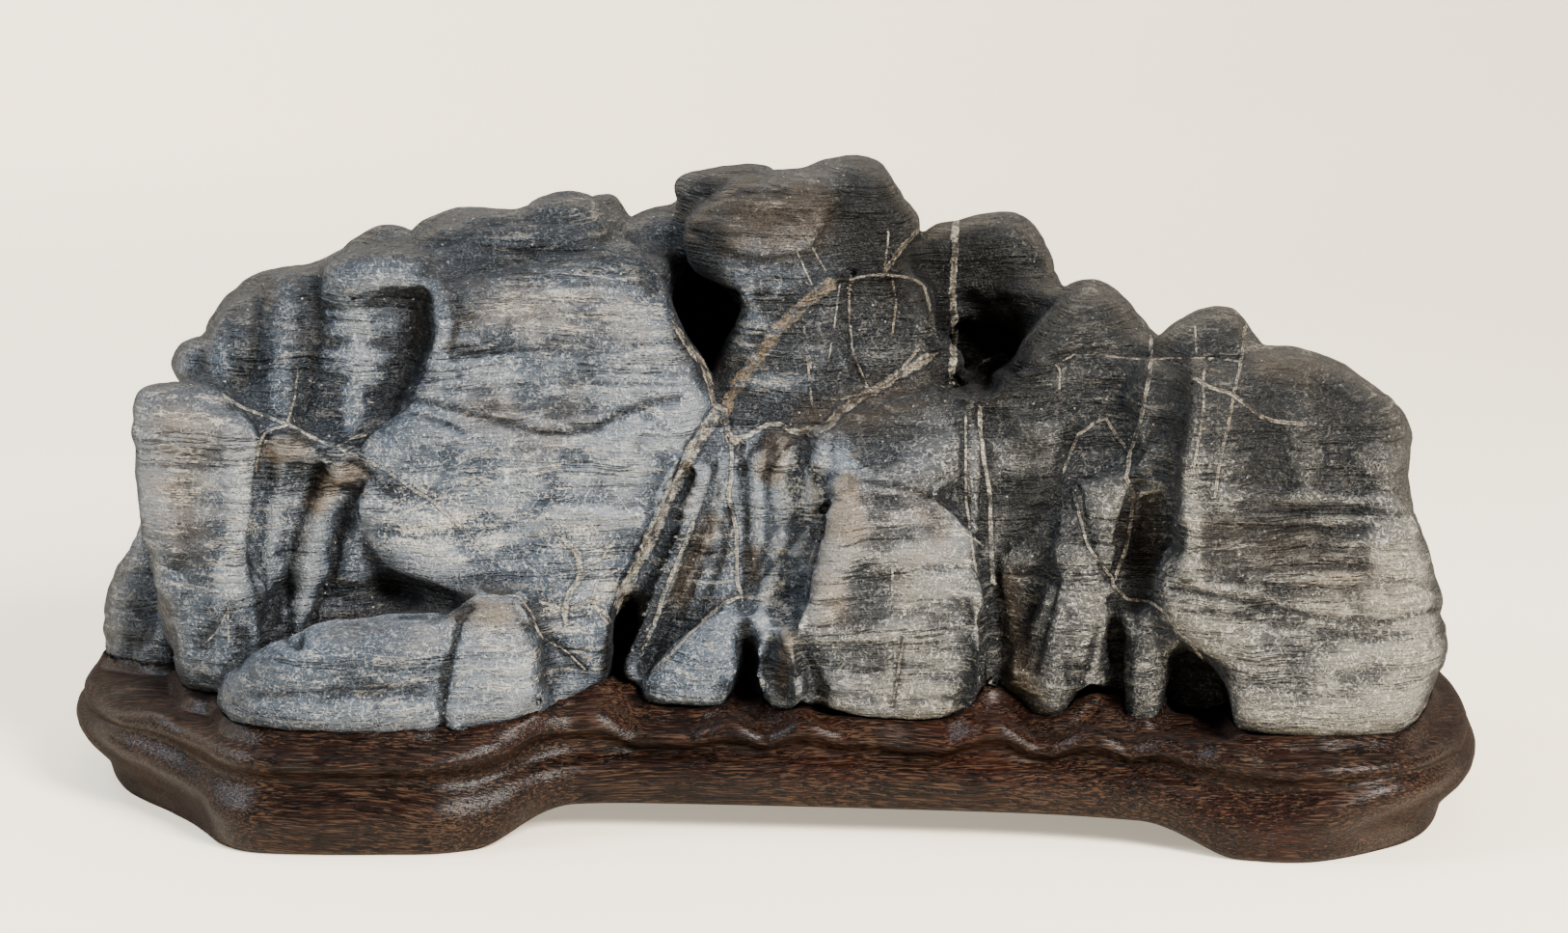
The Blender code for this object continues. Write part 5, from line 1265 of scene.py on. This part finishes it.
def makeStand(rock):
    # rings of the plan drawn in by the side's profile, then rings that run on over the
    # deck to the middle line; height there is the deck's, with its carved swellings
    count = wood["aroundCount"]
    plan = widestPlan(count * 4)
    run = np.concatenate([[0.0], np.cumsum(np.linalg.norm(np.diff(plan, axis=0), axis=1))])
    even = np.linspace(0.0, run[-1], count, endpoint=False)
    plan = np.column_stack([np.interp(even, run, plan[:, 0]), np.interp(even, run, plan[:, 1])])
    ahead = np.roll(plan, -1, axis=0) - np.roll(plan, 1, axis=0)
    inward = np.stack([-ahead[:, 1], ahead[:, 0]], axis=1)
    inward /= np.linalg.norm(inward, axis=1)[:, None]
    steps = np.linspace(0.0, len(endSide) - 1, wood["sideRings"])
    ends, fronts, middles = [
        np.column_stack([np.interp(steps, np.arange(len(side)), np.array(side)[:, axis])
                         for axis in (0, 1)])
        for side in (endSide, frontSide, middleSide)]
    share = footShare(plan[:, 0])[None, :, None]
    atEnd = easedStep(np.abs(plan[:, 0] - wood["endMiddle"]), wood["endFrom"], wood["endTo"])
    foot = fronts[:, None] + (ends - fronts)[:, None] * atEnd[None, :, None]
    profile = middles[:, None] + (foot - middles[:, None]) * share
    inset, height = profile[..., 0], profile[..., 1]
    sides = plan[None] + inward[None] * inset[..., None]
    sides = np.concatenate([sides, height[..., None]], axis=-1)
    inner = sides[-1]
    half = wood["spineHalf"]
    spine = np.column_stack([np.clip(inner[:, 0], -half, half) * wood["spineShare"],
                             inner[:, 1] * wood["spineDepth"]])
    reach = np.linspace(0.0, 1.0, wood["deckRings"])[1:] ** wood["crowding"]
    deck = inner[None, :, :2] + (spine - inner[:, :2])[None] * reach[:, None, None]
    deck = np.concatenate([deck, np.full(deck.shape[:2] + (1,), wood["deckHeight"])], axis=-1)
    points = np.concatenate([sides, deck]).reshape(-1, 3)
    carve(points, rock)
    rings = len(sides) + len(deck)
    side, ring = np.meshgrid(np.arange(count), np.arange(rings - 1))
    after = (side + 1) % count
    quads = np.stack([ring * count + side, ring * count + after, (ring + 1) * count + after,
                      (ring + 1) * count + side], axis=-1).reshape(-1, 4).tolist()
    # the first ring is closed from below, the last over the middle line
    quads.append(list(range(count - 1, -1, -1)))
    quads.append(list(range((rings - 1) * count, rings * count)))
    stand = makeObject("standCarved", points * mm, quads)
    faceOutward(stand)
    stand.data.shade_smooth()
    return stand


def carve(points, rock):
    # swellings along the front rim, points of wood between the stone's feet, a little
    # unevenness from the knife, wood that rises toward the stone, and under the stone
    # the seat, a little below its underside
    x, y, z = points.T
    flat = points[:, :2]
    depth = rimDepth(points)
    top = easedStep(z, *wood["knobHeights"]) * easedStep(-y, *wood["knobPlaces"])
    lift = np.zeros(len(points))
    for at, left, right, rise, inset in knobs:
        across = (x - at) / np.where(x < at, left, right)
        gap = across ** 2 + ((depth - inset) / wood["knobDepth"]) ** 2
        lift += rise * np.clip(1.0 - gap, 0.0, 1.0) ** 1.5 * top
    points[:, 1] -= wood["knobLean"] * lift * (1.0 - easedStep(depth, *wood["leanDepths"]))
    deck = easedStep(z, *wood["deckHeights"])
    for atX, atY, radius, rise in peaks:
        gap = np.hypot(x - atX, 1.2 * (y - atY))
        lift += rise * np.exp(-(gap / radius) ** 2) * deck
    marks = layeredNoise(points * (0.4, 1.0, 1.0), wood["markSize"], 3, wood["seed"])
    lift += wood["marks"] * marks * easedStep(z, *wood["markHeights"])
    under = stoneUnderside(rock)
    low = spreadOut((under < wood["seatUnder"]).astype(float), wood["seatSpread"])
    high = spreadOut((under < wood["betweenUnder"]).astype(float), wood["betweenSpread"])
    around = wood["seatRise"] * easedStep(sample(low, flat), *wood["seatShares"])
    inside = wood["betweenRise"] * easedStep(sample(high, flat), *wood["betweenShares"])
    lift += (around + inside) * deck
    seat = np.maximum(sample(under, flat) - wood["seatGap"], stone["seat"] - 1.0)
    # the lower of the two, rounded where they meet
    apart = z + lift - seat
    lowered = 0.5 * (apart + np.hypot(apart, wood["seatRound"]))
    points[:, 2] = np.where(z > wood["seatFrom"], z + lift - lowered, z + lift)


def rimDepth(points):
    # how far in each point is from the stand's front edge
    plan = widestPlan(800)
    edge = plan[plan[:, 1] < 0]
    edge = edge[np.argsort(edge[:, 0])]
    return points[:, 1] - np.interp(points[:, 0], edge[:, 0], edge[:, 1])


def newMaterial(name):
    material = bpy.data.materials.new(name)
    material.use_nodes = True
    return material, material.node_tree, material.node_tree.nodes["Principled BSDF"]


def addNode(tree, kind, inputs=(), **settings):
    # inputs are (socket, value or output) pairs
    made = tree.nodes.new("ShaderNode" + kind)
    for name, value in settings.items():
        setattr(made, name, value)
    for name, value in inputs:
        if isinstance(value, bpy.types.NodeSocket):
            tree.links.new(value, made.inputs[name])
        else:
            made.inputs[name].default_value = value
    return made


def stretch(tree, place, scale):
    return addNode(tree, "Mapping", [("Vector", place), ("Scale", scale)]).outputs[0]


def noise(tree, place, scale, detail=3.0, roughness=0.55, distortion=0.0):
    return addNode(tree, "TexNoise", [
        ("Vector", place), ("Scale", scale), ("Detail", detail), ("Roughness", roughness),
        ("Distortion", distortion)]).outputs[0]


def wobbled(tree, place, scale, detail):
    # the place, moved by a hundredth of a coloured noise
    colours = addNode(tree, "TexNoise", [
        ("Vector", place), ("Scale", scale), ("Detail", detail)])
    return addNode(tree, "MixRGB", [(0, 0.010), (1, place), (2, colours.outputs[1])],
                   blend_type="ADD").outputs[0]


def compute(tree, operation, first, second=0.0, third=0.0):
    return addNode(tree, "Math", [(0, first), (1, second), (2, third)],
                   operation=operation).outputs[0]


def plus(tree, first, second):
    return compute(tree, "ADD", first, second)


def times(tree, first, second):
    return compute(tree, "MULTIPLY", first, second)


def timesPlus(tree, first, second, third):
    return compute(tree, "MULTIPLY_ADD", first, second, third)


def ramp(tree, value, low, high):
    # straight from 0 at low to 1 at high
    return addNode(tree, "MapRange", [("Value", value), ("From Min", low),
                                      ("From Max", high)]).outputs[0]


def between(tree, value, low, high, start=0.0, end=1.0):
    # eased from start at low to end at high
    return addNode(tree, "MapRange", [("Value", value), ("From Min", low), ("From Max", high),
                                      ("To Min", start), ("To Max", end)],
                   interpolation_type="SMOOTHSTEP").outputs[0]


def mixed(tree, share, first, second):
    made = addNode(tree, "Mix", data_type="RGBA")
    for at, value in ((0, share), (6, first), (7, second)):
        if isinstance(value, bpy.types.NodeSocket):
            tree.links.new(value, made.inputs[at])
        else:
            made.inputs[at].default_value = value if at == 0 else (*value, 1.0)
    return made.outputs[2]


def lines(tree, value, level, width):
    # 1 where the value crosses the level, easing to 0 at width to either side
    gap = compute(tree, "ABSOLUTE", compute(tree, "SUBTRACT", value, level))
    return between(tree, gap, 0.0, width, 1.0, 0.0)


def attribute(tree, name):
    return addNode(tree, "Attribute", attribute_name=name).outputs["Fac"]


def bump(tree, height, strength, distance, under=None):
    inputs = [("Strength", strength), ("Distance", distance), ("Height", height)]
    if under is not None:
        inputs.append(("Normal", under))
    return addNode(tree, "Bump", inputs).outputs[0]


# the stone's colours (linear), the scales of its noises (per metre) and its shares of them
stoneLook = {
    "blueDark": (0.0065, 0.0084, 0.0115), "blueMiddle": (0.038, 0.048, 0.063),
    "blueLight": (0.150, 0.164, 0.180), "greyDark": (0.0055, 0.0062, 0.0072),
    "greyMiddle": (0.037, 0.037, 0.036), "greyLight": (0.158, 0.146, 0.120),
    "bluePale": (0.315, 0.330, 0.340), "pale": (0.36, 0.335, 0.285),
    "seam": (0.42, 0.375, 0.30), "chalk": (0.38, 0.36, 0.32), "tan": (0.115, 0.083, 0.050),
    # the black also colours the painted shade in the creases and clefts
    "tanDark": (0.030, 0.021, 0.013), "blackAndShade": (0.0042, 0.0040, 0.0037),
    "veinWhite": (0.36, 0.325, 0.265), "veinBrown": (0.120, 0.086, 0.050),
    "bedScale": (7.0, 7.0, 130.0), "streakScale": (80.0, 80.0, 480.0), "patchScale": 48.0,
    "grainScale": 1300.0, "scribbleScale": 540.0, "crustScale": 190.0, "speckScale": 300.0,
    "bedShare": 0.50, "patchShare": 0.35, "streakShare": 0.32, "grainShare": 0.7,
    "level": -1.05, "shadeShare": 0.42, "roughness": 0.37, "specular": 0.17}


def stoneMaterial():
    material, tree, shader = newMaterial("limestoneWorn")
    place = addNode(tree, "TexCoord").outputs["Object"]
    apart = addNode(tree, "SeparateXYZ", [("Vector", place)])
    across, up = apart.outputs[0], apart.outputs[2]
    look = stoneLook
    # blue-grey at the left, browner grey at the right
    drift = noise(tree, place, 18.0, 3.0)
    side = between(tree, timesPlus(tree, drift, 0.14, across), 0.060, 0.135)
    dark = mixed(tree, side, look["blueDark"], look["greyDark"])
    middle = mixed(tree, side, look["blueMiddle"], look["greyMiddle"])
    light = mixed(tree, side, look["blueLight"], look["greyLight"])
    # bedding, patches and the fine scribbled mottling
    wavy = wobbled(tree, place, 22.0, 4.0)
    beds = noise(tree, stretch(tree, wavy, look["bedScale"]), 1.0, 5.0, 0.65)
    streaks = noise(tree, stretch(tree, wavy, look["streakScale"]), 1.0, 4.0, 0.65)
    patches = noise(tree, place, look["patchScale"], 6.0, 0.7, 0.6)
    grain = noise(tree, place, look["grainScale"], 2.0, 0.6)
    # light lines where a fine noise crosses its middle value, dark cracks where the
    # bedding crosses one of its own values
    scribble = lines(tree, noise(tree, wavy, look["scribbleScale"], 1.5, 0.5, 0.9), 0.5, 0.060)
    cracks = times(tree, lines(tree, beds, 0.44, 0.010),
                   between(tree, noise(tree, place, 35.0, 2.0), 0.42, 0.58))
    seams = times(tree, lines(tree, streaks, 0.60, 0.035),
                  between(tree, noise(tree, place, 28.0, 3.0, 0.6), 0.42, 0.62))
    toneAndShade = look["level"]
    for layer, share in ((beds, "bedShare"), (patches, "patchShare"), (streaks, "streakShare"),
                         (grain, "grainShare")):
        toneAndShade = timesPlus(tree, layer, look[share], toneAndShade)
    # the lower stone is a little lighter than the summits; the shade strokes paint light and
    # shade on it
    toneAndShade = plus(tree, toneAndShade, between(tree, up, 0.05, 0.15, 0.42, 0.36))
    toneAndShade = timesPlus(tree, attribute(tree, "shade"), look["shadeShare"], toneAndShade)
    # painted light and shade: edges lighter, hollows darker
    toneAndShade = plus(tree, toneAndShade, between(tree, attribute(tree, "hollow"), -1.6, 1.6, 0.20, -0.26))
    toneAndShade = plus(tree, toneAndShade,
                between(tree, attribute(tree, "fineHollow"), -0.25, 0.25, 0.24, -0.20))
    # darker on the tops, and painted shade on what faces neither the front nor the back
    toneAndShade = timesPlus(tree, attribute(tree, "top"), -0.90, toneAndShade)
    toneAndShade = plus(tree, toneAndShade, between(tree, attribute(tree, "flank"), 0.30, 0.75, 0.0, -0.80))
    # dark, middle and light in turn
    colour = mixed(tree, ramp(tree, toneAndShade, -0.15, 0.45), dark, middle)
    colour = mixed(tree, ramp(tree, toneAndShade, 0.45, 1.15), colour, light)
    # the scribble is paler than its ground, more so where the stone is light
    pale = times(tree, scribble, between(tree, toneAndShade, -0.2, 0.8, 0.13, 0.72))
    colour = mixed(tree, pale, colour, mixed(tree, side, look["bluePale"], look["pale"]))
    # brown staining and chalky crust, broken by noise
    tan = between(tree, timesPlus(tree, patches, 1.1, attribute(tree, "tan")), 0.65, 1.35)
    brown = mixed(tree, between(tree, toneAndShade, 0.0, 0.9), look["tanDark"], look["tan"])
    colour = mixed(tree, times(tree, tan, 0.7), colour, brown)
    flakes = noise(tree, stretch(tree, wavy, (0.45, 0.45, 1.7)), look["crustScale"], 5.0, 0.75)
    crust = timesPlus(tree, flakes, 1.6, times(tree, attribute(tree, "chalk"), 0.55))
    crust = timesPlus(tree, scribble, 0.20, crust)
    crust = timesPlus(tree, grain, 0.9, crust)
    crust = plus(tree, crust, between(tree, toneAndShade, -0.3, 0.5, -0.12, 0.0))
    colour = mixed(tree, between(tree, crust, 1.68, 2.10, 0.0, 0.9), colour, look["chalk"])
    # pale seams, dark cracks, and painted shade in the creases
    seams = times(tree, seams, between(tree, toneAndShade, -0.3, 0.5, 0.20, 0.65))
    colour = mixed(tree, seams, colour, look["seam"])
    colour = mixed(tree, times(tree, cracks, 0.62), colour, look["blackAndShade"])
    colour = mixed(tree, times(tree, attribute(tree, "crease"), 0.65), colour, look["blackAndShade"])
    # white specks
    specks = addNode(tree, "TexVoronoi", [("Vector", place), ("Scale", look["speckScale"])])
    speck = between(tree, specks.outputs["Distance"], 0.03, 0.12, 0.75, 0.0)
    colour = mixed(tree, speck, colour, look["chalk"])
    # painted shade, black in the deep clefts, gaps and hollows; darker stone on some summits
    blackAndShade = timesPlus(tree, patches, 0.4, attribute(tree, "blackAndShade"))
    colour = mixed(tree, between(tree, blackAndShade, 0.25, 1.05, 0.0, 0.95), colour, look["blackAndShade"])
    # veins: the line where the signed distance is small and the real one is too
    wobble = compute(tree, "SUBTRACT", noise(tree, place, 210.0, 3.0, 0.6), 0.5)
    height = times(tree, grain, 0.3)
    for group in range(veinGroups):
        line = compute(tree, "ABSOLUTE",
                       timesPlus(tree, wobble, 2.0, attribute(tree, "veinLine%d" % group)))
        near = between(tree, attribute(tree, "veinNear%d" % group), 2.2, 3.0, 1.0, 0.0)
        vein = times(tree, between(tree, line, 0.75, 1.05, 1.0, 0.0), near)
        # browner along the middle of a vein, paler at its rims
        warm = timesPlus(tree, compute(tree, "SUBTRACT", patches, 0.5), 1.8,
                         attribute(tree, "veinWarm%d" % group))
        warm = plus(tree, warm, between(tree, line, 0.1, 0.7, 0.15, -0.30))
        stain = mixed(tree, between(tree, warm, 0.0, 1.0), look["veinWhite"], look["veinBrown"])
        stain = mixed(tree, between(tree, grain, 0.38, 0.62, 0.65, 0.0), stain, dark)
        fade = between(tree, noise(tree, place, 300.0, 4.0, 0.7), 0.40, 0.56, 0.08, 0.95)
        colour = mixed(tree, times(tree, vein, fade), colour, stain)
        # a dark line along both sides
        rim = times(tree, between(tree, line, 1.0, 1.15),
                    between(tree, line, 1.25, 1.7, 0.6, 0.0))
        colour = mixed(tree, times(tree, rim, near), colour, dark)
        height = timesPlus(tree, vein, 0.5, height)
    tree.links.new(colour, shader.inputs["Base Color"])
    # rougher where it is seen at a low angle
    turned = addNode(tree, "LayerWeight", [("Blend", 0.5)]).outputs["Facing"]
    shine = timesPlus(tree, patches, 0.30, look["roughness"] - 0.15)
    shine = timesPlus(tree, scribble, 0.08, shine)
    shine = plus(tree, shine, between(tree, turned, 0.45, 0.9, 0.0, 0.4))
    tree.links.new(shine, shader.inputs["Roughness"])
    shader.inputs["Specular IOR Level"].default_value = look["specular"]
    # fine relief
    for layer, share in ((scribble, 0.25), (streaks, 0.8), (crust, 0.15), (cracks, -1.0)):
        height = timesPlus(tree, layer, share, height)
    # worn relief: patches, and terraces where the bedding is stepped
    steps = compute(tree, "PINGPONG", times(tree, beds, 9.0), 0.5)
    worn = timesPlus(tree, steps, 0.9, times(tree, patches, 1.6))
    low = bump(tree, worn, 0.9, 0.0017)
    tree.links.new(bump(tree, height, 1.0, 0.0008, low), shader.inputs["Normal"])
    return material


# the wood's colours (linear) and the scales of its grain (per metre)
woodLook = {
    "dark": (0.0024, 0.0009, 0.0006), "mid": (0.0088, 0.0036, 0.0022),
    "light": (0.044, 0.023, 0.013), "red": (0.020, 0.0045, 0.0022),
    "pore": (0.0008, 0.0004, 0.0003), "figureScale": (4.0, 60.0, 95.0),
    "fibreScale": (120.0, 1700.0, 2500.0), "poreScale": (220.0, 2000.0, 2600.0),
    "roughness": 0.30, "specular": 0.11}


def woodMaterial():
    material, tree, shader = newMaterial("darkHardwoodCarved")
    place = addNode(tree, "TexCoord").outputs["Object"]
    look = woodLook
    bend = wobbled(tree, place, 14.0, 2.0)
    figure = noise(tree, stretch(tree, bend, look["figureScale"]), 1.0, 4.0, 0.6)
    rings = compute(tree, "PINGPONG", times(tree, figure, 16.0), 0.5)
    fibre = noise(tree, stretch(tree, bend, look["fibreScale"]), 1.0, 2.0, 0.6)
    pores = noise(tree, stretch(tree, bend, look["poreScale"]), 1.0, 1.0, 0.5)
    cloud = noise(tree, place, 20.0, 3.0)
    colour = mixed(tree, between(tree, rings, 0.05, 0.45), look["dark"], look["mid"])
    colour = mixed(tree, between(tree, cloud, 0.52, 0.75, 0.0, 0.6), colour, look["red"])
    worn = timesPlus(tree, noise(tree, place, 30.0, 2.0), 0.25, fibre)
    colour = mixed(tree, between(tree, worn, 0.64, 0.76, 0.0, 0.8), colour, look["light"])
    colour = mixed(tree, between(tree, pores, 0.38, 0.46, 0.9, 0.0), colour, look["pore"])
    tree.links.new(colour, shader.inputs["Base Color"])
    # rougher where it is seen at a low angle
    turned = addNode(tree, "LayerWeight", [("Blend", 0.5)]).outputs["Facing"]
    shine = timesPlus(tree, fibre, 0.20, look["roughness"] - 0.10)
    shine = plus(tree, shine, between(tree, turned, 0.40, 0.75, 0.0, 0.6))
    tree.links.new(shine, shader.inputs["Roughness"])
    shader.inputs["Specular IOR Level"].default_value = look["specular"]
    height = timesPlus(tree, between(tree, pores, 0.38, 0.46), 0.8, fibre)
    tree.links.new(bump(tree, height, 0.6, 0.0003), shader.inputs["Normal"])
    return material


# the room, in metres: its sheet of paper runs from near to back, turns up over the
# radius and ends at top, half is its half width; the glow is painted light that the paper
# gives off
room = {
    "near": -7.0, "back": 1.5, "radius": 0.7, "top": 3.0, "half": 7.0,
    "floor": (0.86, 0.755, 0.60), "roughness": 0.9, "glowNear": 0.55, "glowFar": 1.7,
    "glowLeft": 1.35, "glowRight": 0.70, "world": (1.0, 0.975, 0.93), "worldStrength": 0.50,
    # place, aimed at, width, height, watts, colour
    "lamps": [
        ((0.80, -1.00, 0.95), (0.0, 0.0, 0.07), 0.55, 0.50, 98.0, (1.0, 0.965, 0.91)),
        ((-0.75, 0.30, 1.00), (0.0, 0.0, 0.06), 0.28, 0.28, 6.0, (0.70, 0.85, 1.0)),
        ((-1.15, -0.30, 0.90), (0.0, 0.0, 0.06), 0.45, 0.45, 26.0, (0.76, 0.88, 1.0)),
        ((0.1, 0.30, 1.45), (0.0, 0.0, 0.1), 1.2, 0.9, 8.0, (0.97, 0.98, 1.0))]}


def makeRoom():
    # one sheet: the floor runs back and turns up in a quarter circle into the backdrop
    back, radius = room["back"], room["radius"]
    turn = np.linspace(0.0, 0.5 * math.pi, 25)
    x = np.linspace(-room["half"], room["half"], 29)
    y = np.concatenate([[room["near"], 0.0], back + radius * np.sin(turn), [back + radius]])
    z = np.concatenate([[0.0, 0.0], radius * (1.0 - np.cos(turn)), [room["top"]]])
    points = np.column_stack([np.tile(x, len(y)), np.repeat(y, len(x)), np.repeat(z, len(x))])
    column, row = np.meshgrid(np.arange(len(x) - 1), np.arange(len(y) - 1))
    faces = cellCorners(row * len(x) + column, len(x))
    sheet = makeObject("studioSheet", points, faces.tolist())
    sheet.data.shade_smooth()
    material, tree, shader = newMaterial("studioPaper")
    place = addNode(tree, "TexCoord").outputs["Object"]
    fleck = noise(tree, place, 350.0, 4.0)
    colour = mixed(tree, fleck, tuple(0.985 * c for c in room["floor"]), room["floor"])
    tree.links.new(colour, shader.inputs["Base Color"])
    shader.inputs["Roughness"].default_value = room["roughness"]
    shader.inputs["Specular IOR Level"].default_value = 0.1
    shader.inputs["Emission Color"].default_value = (*room["floor"], 1.0)
    # painted light: the paper glows brighter toward the back and the left, dimmer far out at
    # both sides
    apart = addNode(tree, "SeparateXYZ", [("Vector", place)])
    across = apart.outputs[0]
    away = between(tree, apart.outputs[1], 0.4, 1.5, room["glowNear"], room["glowFar"])
    glow = times(tree, away,
                 between(tree, across, -0.7, 0.7, room["glowLeft"], room["glowRight"]))
    glow = times(tree, glow,
                 between(tree, compute(tree, "ABSOLUTE", across), 2.8, 4.0, 1.0, 0.4))
    tree.links.new(glow, shader.inputs["Emission Strength"])
    tree.links.new(bump(tree, fleck, 0.15, 0.0004), shader.inputs["Normal"])
    sheet.data.materials.append(material)


def makeLamps():
    for number, (place, aim, width, height, watts, colour) in enumerate(room["lamps"]):
        lamp = bpy.data.lights.new("softbox%d" % number, "AREA")
        lamp.shape = "RECTANGLE"
        lamp.size = width
        lamp.size_y = height
        lamp.energy = watts
        lamp.color = colour
        holder = bpy.data.objects.new(lamp.name, lamp)
        holder.location = place
        ahead = Vector(aim) - Vector(place)
        holder.rotation_euler = ahead.to_track_quat("-Z", "Y").to_euler()
        bpy.context.scene.collection.objects.link(holder)
    world = bpy.data.worlds.new("studioWorld")
    world.use_nodes = True
    sky = world.node_tree.nodes["Background"]
    sky.inputs["Color"].default_value = (*room["world"], 1.0)
    sky.inputs["Strength"].default_value = room["worldStrength"]
    bpy.context.scene.world = world


def makeCamera():
    lens = bpy.data.cameras.new("studioCamera")
    lens.lens = view["lens"]
    lens.sensor_width = view["sensor"]
    lens.clip_start = 0.01
    camera = bpy.data.objects.new("studioCamera", lens)
    camera.location = eyePoint() * mm
    camera.rotation_euler = (0.5 * math.pi - view["down"], 0.0, 0.0)
    bpy.context.scene.collection.objects.link(camera)
    bpy.context.scene.camera = camera


makeCamera()
makeRoom()
makeLamps()
print("room ready")
rock = makeStone()
rock.data.materials.clear()
rock.data.materials.append(stoneMaterial())
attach(rock, "root")
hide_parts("rock")
print("stone ready", len(rock.data.polygons))
stand = makeStand(rock)
stand.data.materials.append(woodMaterial())
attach(stand, "root")
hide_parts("stand")
print("stand ready", len(stand.data.polygons))
